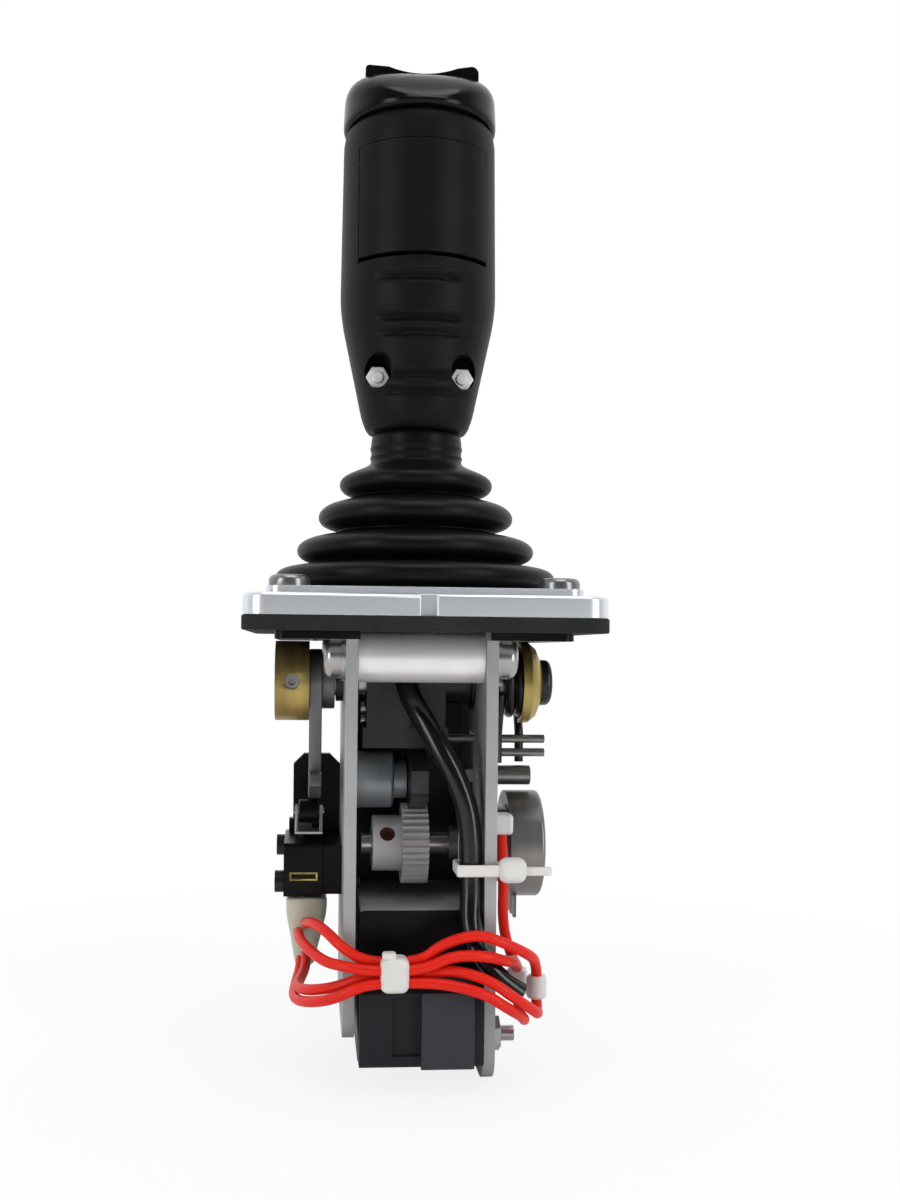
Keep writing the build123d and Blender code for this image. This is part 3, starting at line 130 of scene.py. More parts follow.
class StageSettings(bpy.types.PropertyGroup):
    key: FloatProperty(
        name="Key lamps", description="Power of the two front soft lamps", default=3.4, unit="POWER")
    top: FloatProperty(
        name="Top lamp", description="Power of the overhead soft lamp", default=3.2, unit="POWER")
    rear: FloatProperty(
        name="Rear fill", description="Strength of the white surroundings behind", default=1.0)
    front: FloatProperty(
        name="Front fill", description="Strength of the dark room in front", default=0.12)
    lens: FloatProperty(
        name="Lens", description="Focal length on a 36 mm long side", default=38.6, unit="CAMERA")


# Where the tone's noise begins and ends on its ramp, and the detail of both noises
TONE_SPAN = (0.3, 0.7)
TONE_DETAIL = 3.0
GRAIN_DETAIL = 2.0
WHITE = (1, 1, 1, 1)


def set_sockets(node, sockets):
    """Constants on a shader node's inputs, whose names have underscores for their spaces."""
    for socket, value in sockets.items():
        node.inputs[socket.replace("_", " ")].default_value = value


def add_node(nodes, kind, **sockets):
    """New shader node with constants on the named inputs."""
    node = nodes.new(kind)
    set_sockets(node, sockets)
    return node


def finish(name, colour, metallic=0.0, rough=(0.4, 0.5), grain=900.0, relief=0.15, depth=0.00004,
           tint=0.08, broad=90.0, stretch=(1.0, 1.0, 1.0), **sockets):
    """Material whose tone, gloss and relief change with noise laid over the piece's own coordinates."""
    material = bpy.data.materials.get(name)
    if material:
        return material
    material = bpy.data.materials.new(name)
    material.use_nodes = True
    nodes = material.node_tree.nodes
    links = material.node_tree.links
    shader = nodes["Principled BSDF"]
    set_sockets(shader, {"Metallic": metallic, **sockets})
    place = nodes.new("ShaderNodeTexCoord")
    mapping = add_node(nodes, "ShaderNodeMapping", Scale=stretch)
    links.new(place.outputs["Object"], mapping.inputs["Vector"])
    tone = add_node(nodes, "ShaderNodeTexNoise", Scale=broad, Detail=TONE_DETAIL)
    links.new(mapping.outputs["Vector"], tone.inputs["Vector"])
    ramp = nodes.new("ShaderNodeValToRGB")
    for element, position, share in zip(ramp.color_ramp.elements, TONE_SPAN, (1 - tint, 1 + tint)):
        element.position = position
        element.color = (*[min(1.0, part * share) for part in colour], 1)
    links.new(tone.outputs["Fac"], ramp.inputs["Fac"])
    links.new(ramp.outputs["Color"], shader.inputs["Base Color"])
    fine = add_node(nodes, "ShaderNodeTexNoise", Scale=grain, Detail=GRAIN_DETAIL)
    links.new(mapping.outputs["Vector"], fine.inputs["Vector"])
    gloss = add_node(nodes, "ShaderNodeMapRange", To_Min=rough[0], To_Max=rough[1])
    links.new(fine.outputs["Fac"], gloss.inputs["Value"])
    links.new(gloss.outputs["Result"], shader.inputs["Roughness"])
    bump = add_node(nodes, "ShaderNodeBump", Strength=relief, Distance=depth)
    links.new(fine.outputs["Fac"], bump.inputs["Height"])
    links.new(bump.outputs["Normal"], shader.inputs["Normal"])
    return material


def palette():
    """Every finish on the joystick, by name."""
    c = bpy.context.scene.joystick_colours
    return {
        "grip": finish("grip_moulding", c.grip, grain=2600, relief=0.1, tint=0.15,
                       Specular_IOR_Level=0.1),
        "cap": finish("cap_gloss", c.cap, rough=(0.17, 0.22), grain=1400, relief=0.03, tint=0.1,
                      Specular_IOR_Level=0.15),
        "rubber": finish("bellows_rubber", c.rubber, rough=(0.34, 0.42), grain=1500, relief=0.08, tint=0.2,
                         Specular_IOR_Level=0.12),
        "foam": finish("gasket_foam", c.foam, rough=(0.75, 0.9), grain=2400, relief=0.3, depth=0.00006,
                       tint=0.25, Specular_IOR_Level=0.2),
        "plastic": finish("black_moulding", c.moulding, rough=(0.26, 0.36), grain=1800, relief=0.08,
                          Specular_IOR_Level=0.14),
        "tray": finish("case_top", c.tray, rough=(0.45, 0.55), relief=0.1, tint=0.1),
        "slate": finish("cover_moulding", c.slate, rough=(0.45, 0.55), grain=3200, relief=0.2, tint=0.06,
                        Specular_IOR_Level=0.25),
        "pad": finish("cover_pad", c.pad, rough=(0.45, 0.55), grain=3200, relief=0.2, tint=0.06,
                      Specular_IOR_Level=0.25),
        "zinc": finish("zinc_sheet", c.zinc, metallic=0.55, rough=(0.4, 0.52), grain=420, relief=0.03,
                       tint=0.07, broad=60),
        # Dark zinc of the sector, and painted shade on the rear wall
        "dark_zinc_and_shade": finish("dark_sheet", c.dark_zinc_and_shade, metallic=0.6, rough=(0.4, 0.52), grain=420,
                            relief=0.03, tint=0.15, broad=60),
        "flange": finish("flange_metal", c.flange, metallic=0.65, rough=(0.24, 0.32), grain=260, relief=0.02,
                         stretch=(0.05, 1.0, 1.0), tint=0.04),
        "arm": finish("arm_steel", c.arm, metallic=0.6, rough=(0.32, 0.42), grain=420, relief=0.03, tint=0.1,
                      broad=60),
        "pin": finish("pin_steel", c.pin, metallic=0.85, rough=(0.27, 0.29), grain=60, relief=0.0, tint=0.03),
        "steel": finish("nickel_steel", c.steel, metallic=0.9, rough=(0.2, 0.28), grain=500, relief=0.004),
        "dark_steel": finish("blackened_steel", c.dark_steel, metallic=0.7, rough=(0.24, 0.34), grain=500,
                             relief=0.02, tint=0.2),
        "bright": finish("bright_steel", c.bright, metallic=0.1, rough=(0.2, 0.3), grain=500, relief=0.015),
        "turned": finish("turned_aluminium", c.turned, metallic=0.45, rough=(0.3, 0.38), grain=600,
                         stretch=(2.0, 0.02, 0.02), relief=0.03, tint=0.03),
        "can": finish("sensor_can", c.can, metallic=0.9, rough=(0.3, 0.4), grain=700,
                      stretch=(4.0, 0.05, 0.05), relief=0.04, tint=0.06),
        "dull": finish("dull_aluminium", c.dull, metallic=0.5, rough=(0.4, 0.55), grain=600,
                       stretch=(2.0, 0.1, 0.1), relief=0.04, tint=0.15),
        "barrel": finish("barrel_aluminium", c.barrel, metallic=0.5, rough=(0.36, 0.46), grain=600,
                         stretch=(2.0, 0.1, 0.1), relief=0.04),
        "brass": finish("aged_brass", c.brass, metallic=0.85, rough=(0.3, 0.42), grain=600, relief=0.04,
                        stretch=(2.0, 0.3, 0.3), tint=0.22, broad=150),
        "spring": finish("spring_wire", c.spring, metallic=0.8, rough=(0.24, 0.34), relief=0.03),
        "nylon": finish("white_nylon", c.nylon, rough=(0.36, 0.46), grain=700, relief=0.05, tint=0.03,
                        Subsurface_Weight=0.15, Subsurface_Scale=0.002),
        "wire": finish("wire_insulation", c.wire, rough=(0.34, 0.46), grain=1500, relief=0.04, tint=0.05,
                       Specular_IOR_Level=0.25),
        "cable": finish("cable_sheath", c.cable, rough=(0.12, 0.26), grain=300, relief=0.35, depth=0.0002,
                        tint=0.2, Specular_IOR_Level=0.45),
        "sleeve": finish("soft_sleeve", c.sleeve, rough=(0.32, 0.45), grain=420, relief=0.12, tint=0.1,
                         Subsurface_Weight=0.3, Subsurface_Scale=0.003),
        "seal": finish("seal_paint", c.seal, rough=(0.25, 0.4), relief=0.2, depth=0.0001),
        "tin": finish("tinned_brass", c.tin, metallic=1.0, rough=(0.25, 0.4), relief=0.05),
    }


def place_piece(obj, body, material, nodes):
    """Gives a new piece its finish, its body and the CAD nodes that it stands for."""
    obj.data.materials.clear()
    obj.data.materials.append(material)
    if body:
        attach(obj, body)
    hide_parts(*nodes)


def piece_from(bm, name, angle=SMOOTH_ANGLE):
    """Object made of a bmesh, smooth between edges flatter than the angle."""
    mesh = bpy.data.meshes.new(name)
    bm.to_mesh(mesh)
    bm.free()
    mesh.shade_smooth()
    mesh.set_sharp_from_angle(angle=math.radians(angle))
    obj = bpy.data.objects.new(name, mesh)
    bpy.context.scene.collection.objects.link(obj)
    return obj


def break_edges(obj, width, segments=2, angle=EDGE_ANGLE):
    """Small round on every edge sharper than the angle, its width in millimetres."""
    bevel = obj.modifiers.new("Broken edges", "BEVEL")
    bevel.width = width * MM
    bevel.segments = segments
    bevel.limit_method = "ANGLE"
    bevel.angle_limit = math.radians(angle)
    bevel.harden_normals = True


def subdivide(obj, levels):
    """Softens a piece by subdivision."""
    smooth = obj.modifiers.new("Smooth", "SUBSURF")
    smooth.levels = smooth.render_levels = levels


def evaluated_mesh(obj):
    """New mesh of an object as its modifiers or its curve settings make it."""
    bpy.context.view_layer.update()
    graph = bpy.context.evaluated_depsgraph_get()
    return bpy.data.meshes.new_from_object(obj.evaluated_get(graph))


def settle(obj):
    """Applies the modifiers of a piece."""
    mesh = evaluated_mesh(obj)
    obj.modifiers.clear()
    old = obj.data
    obj.data = mesh
    bpy.data.meshes.remove(old)


def discard(obj):
    """Removes an object and its mesh."""
    mesh = obj.data
    bpy.data.objects.remove(obj)
    bpy.data.meshes.remove(mesh)


def carve(obj, tools, operation="DIFFERENCE"):
    """Cuts the tools out of a piece, or joins them to it, and removes the tools."""
    for tool in tools:
        cut = obj.modifiers.new("Cut", "BOOLEAN")
        cut.operation = operation
        cut.solver = "EXACT"
        cut.object = tool
    settle(obj)
    for tool in tools:
        discard(tool)


def body_of(node):
    """Body that a CAD node rides on."""
    for body, members in frame["record"]["behaviour"]["bodies"].items():
        if node in members:
            return body
    raise ValueError(f"no body holds {node}")


def node_copy(node, name):
    """Copy of a CAD node's mesh with its doubles merged and its flats made whole."""
    bm = bmesh.new()
    bm.from_mesh(frame["nodes"][node].data)
    bmesh.ops.remove_doubles(bm, verts=bm.verts, dist=NODE_WELD)
    bmesh.ops.dissolve_limit(bm, angle_limit=math.radians(FLAT_ANGLE), verts=bm.verts, edges=bm.edges)
    return piece_from(bm, name)


def dress(node, material, width):
    """Clean copy of a CAD node with broken edges, in place of the node."""
    obj = node_copy(node, f"{node}_dressed")
    if width > 0:
        break_edges(obj, width, angle=SMOOTH_ANGLE)
    place_piece(obj, body_of(node), material, [node])


def block(name, low, high):
    """Box between two corners, in millimetres."""
    bm = bmesh.new()
    bmesh.ops.create_cube(bm, size=1.0)
    low, high = Vector(low) * MM, Vector(high) * MM
    bmesh.ops.scale(bm, vec=high - low, verts=bm.verts)
    bmesh.ops.translate(bm, vec=(low + high) / 2, verts=bm.verts)
    return piece_from(bm, name)


ROD_SEGMENTS = 40


def oval_rod(name, x, z, half_x, half_z, y0, y1):
    """Oval bar along Y, in millimetres."""
    bm = bmesh.new()
    bmesh.ops.create_cone(bm, cap_ends=True, segments=ROD_SEGMENTS, radius1=1.0, radius2=1.0, depth=1.0)
    bmesh.ops.rotate(bm, verts=bm.verts, matrix=Matrix.Rotation(math.pi / 2, 3, "X"))
    bmesh.ops.scale(bm, vec=Vector((half_x, y1 - y0, half_z)) * MM, verts=bm.verts)
    bmesh.ops.translate(bm, vec=Vector((x, (y0 + y1) / 2, z)) * MM, verts=bm.verts)
    return piece_from(bm, name)


def between(value, table):
    """Value read from a table of (place, value) pairs, along straight runs."""
    if value <= table[0][0]:
        return table[0][1]
    for (a, va), (b, vb) in zip(table, table[1:]):
        if value <= b:
            return va + (vb - va) * (value - a) / (b - a)
    return table[-1][1]


def smooth_step(value, start, end):
    """0 before start and 1 after end, with soft ends."""
    t = min(1.0, max(0.0, (value - start) / (end - start)))
    return t * t * (3 - 2 * t)


def spin_outline(outline, steps):
    """Round surface about Z from (height, radius) points in millimetres, as a bmesh in metres."""
    bm = bmesh.new()
    verts = [bm.verts.new((radius * MM, 0, height * MM)) for height, radius in outline]
    edges = [bm.edges.new(pair) for pair in zip(verts, verts[1:])]
    bmesh.ops.spin(bm, geom=verts + edges, cent=(0, 0, 0), axis=(0, 0, 1), angle=math.tau, steps=steps,
                   use_merge=True)
    bmesh.ops.remove_doubles(bm, verts=bm.verts, dist=WELD)
    return bm


def turned_solid(outline, steps):
    """Closed round body about Z, whose ends are flat, as a bmesh in metres."""
    bm = spin_outline([(outline[0][0], 0.0), *outline, (outline[-1][0], 0.0)], steps)
    bmesh.ops.dissolve_degenerate(bm, edges=bm.edges, dist=SHORTEST_EDGE)
    bmesh.ops.recalc_face_normals(bm, faces=bm.faces)
    return bm


class JoystickOperator:
    """Options that the joystick's operators share"""
    bl_options = {"REGISTER", "UNDO"}


# Name, place and size in metres, and the setting that gives the power
LAMPS = [
    ("Key_left", (-0.64, -0.50, 0.10), (0.26, 0.9), "key"),
    ("Key_right", (0.58, -0.56, 0.10), (0.26, 0.9), "key"),
    ("Top", (0.05, -0.25, 0.85), (0.6, 0.6), "top"),
]
LAMP_TARGET = (0, 0, 0.03)

# The surroundings turn from dark in front to white behind between these parts of the Y direction
ROOM_FADE = (-0.45, 0.35)

# Floor in metres: it whitens with the distance from the object until it is lost in the surroundings
FLOOR_HEIGHT = -0.1142
FLOOR_RADIUS = 3.0
FLOOR_SEGMENTS = 96
FLOOR_TONE = (0.86, 0.86, 0.86, 1)
FLOOR_ROUGHNESS = 0.9
WHITENING_FROM = 0.13
WHITENING_TO = 0.32
WHITENING = (0.84, 1.0)

# Camera in metres and degrees, with its shifts as shares of the picture's long side
CAMERA_PLACE = (-0.0281, -0.3489, -0.0047)
CAMERA_TILT = 90
CAMERA_YAW = -4.6
CAMERA_ROLL = 0.6
CAMERA_SHIFT = (0.03, 0.0425)
CAMERA_NEAR = 0.01
SENSOR_WIDTH = 36.0


class JOYSTICK_OT_stage(JoystickOperator, bpy.types.Operator):
    """Floor, soft lamps, white surroundings and the camera"""
    bl_idname = "joystick.stage"
    bl_label = "Stage"

    def execute(self, context):
        settings = context.scene.joystick_stage
        context.scene.view_settings.view_transform = "Standard"
        self.surroundings(context, settings)
        self.floor()
        for name, place, size, power in LAMPS:
            self.lamp(name, place, size, getattr(settings, power))
        self.camera(context, settings)
        return {"FINISHED"}

    def surroundings(self, context, settings):
        """White to the camera. To the object they are white behind it and dark in front."""
        world = bpy.data.worlds.new("Surroundings")
        context.scene.world = world
        world.use_nodes = True
        nodes = world.node_tree.nodes
        links = world.node_tree.links
        nodes.clear()
        path = nodes.new("ShaderNodeLightPath")
        seen = nodes.new("ShaderNodeMath")
        seen.operation = "MAXIMUM"
        links.new(path.outputs["Is Camera Ray"], seen.inputs[0])
        links.new(path.outputs["Is Transmission Ray"], seen.inputs[1])
        direction = nodes.new("ShaderNodeTexCoord")
        split = nodes.new("ShaderNodeSeparateXYZ")
        links.new(direction.outputs["Generated"], split.inputs[0])
        fade = add_node(nodes, "ShaderNodeMapRange", From_Min=ROOM_FADE[0], From_Max=ROOM_FADE[1],
                        To_Min=settings.front, To_Max=settings.rear)
        fade.interpolation_type = "SMOOTHSTEP"
        links.new(split.outputs["Y"], fade.inputs["Value"])
        light = add_node(nodes, "ShaderNodeBackground", Color=WHITE)
        links.new(fade.outputs["Result"], light.inputs["Strength"])
        white = add_node(nodes, "ShaderNodeBackground", Color=WHITE, Strength=1.0)
        mix = nodes.new("ShaderNodeMixShader")
        links.new(seen.outputs[0], mix.inputs["Fac"])
        links.new(light.outputs[0], mix.inputs[1])
        links.new(white.outputs[0], mix.inputs[2])
        out = nodes.new("ShaderNodeOutputWorld")
        links.new(mix.outputs[0], out.inputs["Surface"])

    def floor(self):
        """Pale disc under the object, which glows white to the camera alone."""
        bm = bmesh.new()
        bmesh.ops.create_circle(bm, cap_ends=True, segments=FLOOR_SEGMENTS, radius=FLOOR_RADIUS)
        bmesh.ops.translate(bm, vec=(0, 0, FLOOR_HEIGHT), verts=bm.verts)
        obj = piece_from(bm, "Floor")
        material = bpy.data.materials.new("pale_floor")
        material.use_nodes = True
        nodes = material.node_tree.nodes
        links = material.node_tree.links
        shader = nodes["Principled BSDF"]
        set_sockets(shader, {"Base_Color": FLOOR_TONE, "Roughness": FLOOR_ROUGHNESS})
        path = nodes.new("ShaderNodeLightPath")
        glow = add_node(nodes, "ShaderNodeEmission", Color=WHITE)
        place = nodes.new("ShaderNodeTexCoord")
        distance = nodes.new("ShaderNodeVectorMath")
        distance.operation = "LENGTH"
        links.new(place.outputs["Object"], distance.inputs[0])
        whiten = add_node(nodes, "ShaderNodeMapRange", From_Min=WHITENING_FROM, From_Max=WHITENING_TO,
                          To_Min=WHITENING[0], To_Max=WHITENING[1])
        whiten.interpolation_type = "SMOOTHSTEP"
        links.new(distance.outputs["Value"], whiten.inputs["Value"])
        share = nodes.new("ShaderNodeMath")
        share.operation = "MULTIPLY"
        links.new(path.outputs["Is Camera Ray"], share.inputs[0])
        links.new(whiten.outputs["Result"], share.inputs[1])
        mix = nodes.new("ShaderNodeMixShader")
        links.new(share.outputs[0], mix.inputs["Fac"])
        links.new(shader.outputs[0], mix.inputs[1])
        links.new(glow.outputs[0], mix.inputs[2])
        links.new(mix.outputs[0], nodes["Material Output"].inputs["Surface"])
        obj.data.materials.append(material)

    def lamp(self, name, place, size, power):
        """Soft rectangular lamp that looks at the object."""
        data = bpy.data.lights.new(name, "AREA")
        data.shape = "RECTANGLE"
        data.size, data.size_y = size
        data.energy = power
        obj = bpy.data.objects.new(name, data)
        bpy.context.scene.collection.objects.link(obj)
        obj.location = place
        obj.rotation_euler = (Vector(LAMP_TARGET) - Vector(place)).to_track_quat("-Z", "Y").to_euler()

    def camera(self, context, settings):
        """Camera low in front of the flange."""
        data = bpy.data.cameras.new("Camera")
        data.sensor_fit = "AUTO"
        data.sensor_width = SENSOR_WIDTH
        data.lens = settings.lens
        data.shift_x, data.shift_y = CAMERA_SHIFT
        data.clip_start = CAMERA_NEAR
        obj = bpy.data.objects.new("Camera", data)
        context.scene.collection.objects.link(obj)
        turn = Euler((math.radians(CAMERA_TILT), 0, math.radians(CAMERA_YAW))).to_matrix().to_4x4()
        roll = Matrix.Rotation(math.radians(CAMERA_ROLL), 4, "Z")
        obj.matrix_world = Matrix.Translation(CAMERA_PLACE) @ turn @ roll
        context.scene.camera = obj


# Routes in millimetres, each from its upper end
HANDLE_CABLE = [
    (0, -0.8, 27.0), (0, -1.0, 20.0), (-0.4, -4.4, 10.5), (-2.2, -9.6, 0.5), (-3.2, -10.5, -7.0),
    (-3.0, -13.4, -14.8), (0.5, -18.8, -21.6), (5.0, -22.8, -29.2), (9.8, -24.6, -38.2),
    (12.8, -25.1, -47.5), (13.0, -25.2, -56.0),
]
LOWER_CABLE = [
    (13.0, -25.2, -56.0), (13.2, -25.3, -64.5), (12.6, -26.8, -73.0), (14.0, -30.6, -79.6),
    (18.6, -32.4, -85.8), (24.8, -31.8, -89.8),
]
RED_WIRES = {
    "a": [(-28.6, -7.0, -77.0), (-28.4, -13.0, -76.0), (-27.0, -21.5, -73.6), (-23.6, -29.6, -74.2),
          (-19.6, -34.2, -77.4), (-13.6, -35.0, -80.9), (-0.4, -35.0, -80.9), (4.8, -35.8, -76.2),
          (13.6, -36.6, -73.6), (20.6, -35.8, -76.4), (26.6, -31.8, -79.8), (29.8, -26.2, -83.0),
          (30.3, -24.1, -88.0)],
    "b": [(-30.6, -7.0, -79.4), (-30.4, -13.8, -79.0), (-28.6, -23.0, -79.6), (-24.0, -32.4, -81.2),
          (-19.4, -36.6, -81.3), (-13.4, -37.7, -82.3), (0.0, -37.7, -82.3), (6.8, -38.2, -78.6),
          (15.8, -37.7, -78.9), (21.8, -33.5, -81.5), (24.4, -26.0, -82.7), (26.1, -19.4, -86.6)],
    "c": [(-28.4, 8.6, -86.0), (-28.2, 3.0, -90.0), (-29.6, -6.0, -91.6), (-31.0, -15.6, -91.6),
          (-27.8, -26.6, -89.8), (-20.6, -33.4, -87.2), (-13.2, -35.0, -83.8), (0.0, -35.0, -83.8),
          (7.4, -37.2, -82.2), (16.2, -38.4, -84.6), (22.2, -37.7, -89.0), (27.8, -33.3, -93.4),
          (30.0, -28.6, -95.8), (30.4, -24.2, -95.6), (30.3, -23.9, -92.4)],
    "d": [(-29.4, 11.4, -86.0), (-29.8, 6.6, -91.4), (-31.4, -4.0, -94.4), (-31.6, -15.4, -94.6),
          (-28.4, -27.2, -92.6), (-21.6, -36.0, -89.6), (-13.8, -37.7, -85.2), (-0.4, -37.7, -85.2),
          (6.4, -38.9, -85.5), (15.0, -39.6, -87.6), (20.8, -38.4, -91.6), (25.6, -32.6, -95.4),
          (27.0, -26.0, -98.2), (26.6, -20.0, -97.6), (26.1, -18.9, -92.8)],
    "e": [(21.8, -17.0, -51.5), (21.7, -21.2, -56.8), (21.6, -23.4, -64.2), (21.4, -23.8, -72.4),
          (22.8, -21.8, -79.4), (26.0, -18.7, -86.6)],
}

# How finely a route's curve is drawn, and the angle in degrees that its tube shows as an edge
CORD_ORDER = 3
CORD_STEPS = 10
CORD_ROUNDNESS = 6
CORD_ANGLE = 50


def route_curve(name, route, radius):
    """NURBS curve whose control points are the route's points."""
    curve = bpy.data.curves.new(name, "CURVE")
    curve.dimensions = "3D"
    spline = curve.splines.new("NURBS")
    spline.points.add(len(route) - 1)
    for point, (x, y, z) in zip(spline.points, route):
        point.co = (x * MM, y * MM, z * MM, 1)
    spline.order_u = CORD_ORDER
    spline.use_endpoint_u = True
    spline.resolution_u = CORD_STEPS
    curve.bevel_depth = radius
    curve.bevel_resolution = CORD_ROUNDNESS
    curve.use_fill_caps = True
    obj = bpy.data.objects.new(name, curve)
    bpy.context.scene.collection.objects.link(obj)
    return obj


def curve_line(obj):
    """Points along a curve's own line."""
    depth = obj.data.bevel_depth
    obj.data.bevel_depth = 0
    line = evaluated_mesh(obj)
    points = [vert.co.copy() for vert in line.vertices]
    bpy.data.meshes.remove(line)
    obj.data.bevel_depth = depth
    bpy.context.view_layer.update()
    return points


def tube_mesh(curve_obj):
    """Mesh object in place of a curve object, with the same name."""
    mesh = evaluated_mesh(curve_obj)
    name = curve_obj.name
    bpy.data.objects.remove(curve_obj)
    obj = bpy.data.objects.new(name, mesh)
    bpy.context.scene.collection.objects.link(obj)
    mesh.shade_smooth()
    mesh.set_sharp_from_angle(angle=math.radians(CORD_ANGLE))
    return obj


class JOYSTICK_OT_cables(JoystickOperator, bpy.types.Operator):
    """Black cable of the grip's switches and the red wires of the limit switch"""
    bl_idname = "joystick.cables"
    bl_label = "Cables and wires"

    def execute(self, context):
        sizes = context.scene.joystick_sizes
        looks = palette()
        self.cable("Handle_cable", HANDLE_CABLE, sizes.cable_radius, looks["cable"], "handle_cable", True)
        self.cable("Lower_cable", LOWER_CABLE, sizes.cable_radius, looks["cable"], "lower_cable", False)
        for key, route in RED_WIRES.items():
            self.wire(f"Red_wire_{key}", route, sizes.wire_radius, looks["wire"])
        return {"FINISHED"}

    def cable(self, name, route, radius, material, node, bends):
        """Part of the black cable: the upper part is left without a body, and the lower part stays with the
        frame.
        """
        curve = route_curve(name, route, radius)
        points = curve_line(curve)
        obj = tube_mesh(curve)
        place_piece(obj, None if bends else "frame", material, [node])
        if bends:
            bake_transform(obj)

    def wire(self, name, route, radius, material):
        """Red wire, which stays a curve."""
        obj = route_curve(name, route, radius)
        points = curve_line(obj)
        place_piece(obj, "frame", material, ["red_wires"])


# Bellows from the cuff under the grip down to the foot under the retainer, as (height, radius) in millimetres
BOOT_OUTLINE = [
    (53.9, 12.2), (50.4, 12.2), (49.9, 12.7), (49.3, 12.2), (47.9, 12.2), (47.4, 12.7), (46.8, 12.2),
    (45.6, 12.3), (44.4, 14.4), (43.4, 17.0), (42.2, 19.6), (40.9, 20.75), (39.2, 20.75),
    (37.9, 19.7), (37.2, 18.2), (36.8, 16.7), (36.3, 17.2), (35.4, 20.2), (34.6, 23.4), (33.2, 25.5),
    (31.8, 26.35), (30.2, 26.35), (28.8, 25.3), (27.9, 22.8), (27.4, 20.5), (26.9, 21.2), (26.2, 24.4),
    (25.5, 28.4), (24.2, 31.0), (22.8, 32.05), (21.2, 32.05), (19.8, 31.0), (19.0, 29.0), (18.6, 27.2),
    (18.1, 28.0), (17.9, 31.4), (17.5, 35.0), (16.4, 37.2), (15.2, 37.7), (14.2, 37.7), (13.0, 37.2),
    (12.2, 35.6), (11.8, 34.2), (11.4, 33.7), (10.2, 33.7), (9.85, 34.6), (9.85, 36.6),
]
BOOT_ANGLE = 80


class JOYSTICK_OT_boot(JoystickOperator, bpy.types.Operator):
    """Rubber bellows between the flange and the grip"""
    bl_idname = "joystick.boot"
    bl_label = "Bellows"

    def execute(self, context):
        sizes = context.scene.joystick_sizes
        bm = spin_outline(BOOT_OUTLINE, sizes.boot_steps)
        bmesh.ops.recalc_face_normals(bm, faces=bm.faces)
        obj = piece_from(bm, "Bellows", BOOT_ANGLE)
        wall = obj.modifiers.new("Wall", "SOLIDIFY")
        wall.thickness = sizes.boot_wall
        wall.offset = -1
        subdivide(obj, 1)
        settle(obj)
        place_piece(obj, None, palette()["rubber"], ["boot"])
        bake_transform(obj)
        return {"FINISHED"}


# Dressed copies by group: CAD node, finish, slot and width of the broken edges in millimetres
DRESSED = {
    "rocker": [("rocker", "cap", "gloss_black", 0.6)],
    "trigger": [("trigger", "grip", "black_plastic", 0.15)],
    "panel": [("mounting_plate", "flange", "plate_metal", 0.3), ("gasket", "foam", "rubber", 0.4),
              ("boot_retainer", "flange", "plate_metal", 0.3)],
    "sheet": [("left_side_plate", "zinc", "zinc", 0.3), ("right_side_plate", "zinc", "zinc", 0.3),
              ("cam_arm", "arm", "steel", 0.3)],
    "screws": [("retainer_screws", "pin", "steel", 0.3), ("spacer_screws", "steel", "steel", 0.15),
               ("sector_screws", "steel", "steel", 0.1), ("grip_nuts", "bright", "steel", 0.3),
               ("grip_screws", "bright", "steel", 0.3), ("switch_screws", "dark_steel", "steel", 0.4),
               ("module_screw", "steel", "steel", 0.15), ("shaft_screw", "dark_steel", "steel", 0.2),
               ("collar_screw", "steel", "steel", 0.1)],
    "turned": [("front_spacer", "turned", "aluminium", 0.3), ("rear_spacer", "turned", "aluminium", 0.3),
               ("left_collar", "brass", "brass", 0.4), ("dished_washer", "brass", "brass", 0.3),
               ("shaft_bushes", "dark_steel", "steel", 0.2), ("shaft_sleeve", "dark_steel", "steel", 0.2),
               ("standoff_post", "pin", "steel", 0.3), ("spring_pin", "pin", "steel", 0.2),
               ("spring_anchor_pin", "pin", "steel", 0.2), ("pivot_shaft", "steel", "steel", 0.3),
               ("friction_barrel", "barrel", "aluminium", 0.2), ("handle_tube", "steel", "steel", 0.2)],
    "gears": [("sector_gear", "dark_zinc_and_shade", "zinc", 0.08), ("pinion", "nylon", "nylon", 0.08),
              ("pinion_screw", "seal", "steel", 0.1), ("hub_block", "dull", "aluminium", 0.3),
              ("cross_bar", "dull", "aluminium", 0.3), ("pot_shaft", "steel", "steel", 0.2)],
    "spring": [("centring_spring", "spring", "spring_steel", 0.0)],
    "sensor": [("pot_body", "can", "steel", 0.3), ("pot_nut", "steel", "steel", 0.2)],
    "switch": [("switch_body", "plastic", "black_plastic", 0.3), ("switch_lever", "steel", "steel", 0.1),
               ("switch_roller", "plastic", "black_plastic", 0.2), ("switch_plunger", "seal", "nylon", 0.2),
               ("switch_terminals", "tin", "brass", 0.1),
               ("switch_bracket", "plastic", "black_plastic", 0.4)],
    "ties": [("wire_connectors", "nylon", "nylon", 1.0)],
}


def dress_group(group):
    """Dresses every node of a group."""
    looks = palette()
    for node, look, slot, width in DRESSED[group]:
        dress(node, looks[look], width)


# Grip in millimetres: half widths, and the outline as (height, step from the widest section)
GRIP_HALF_X = 21.0
GRIP_HALF_Y = 22.6
GRIP_BOTTOM = 54.3
GRIP_TOP = 134.6
GRIP_OUTLINE = [
    (GRIP_BOTTOM, -7.9), (55.3, -6.9), (57.5, -6.1), (83.5, -0.6), (89.0, 0.0), (133.2, -0.6),
    (GRIP_TOP, -1.8),
]
GRIP_LEVELS = (
    [GRIP_BOTTOM, 54.5, 54.8, 55.2, 55.8, 56.5]
    + [57.2 + 0.4 * i for i in range(92)]
    + [96.0, 100, 104, 108, 112, 116, 120, 124, 128, 131, 132.4, 133.2, 133.8, 134.3, GRIP_TOP]
)
CORNER_SPREAD = (0.3, 2.4)
CORNER_SAMPLES = 4

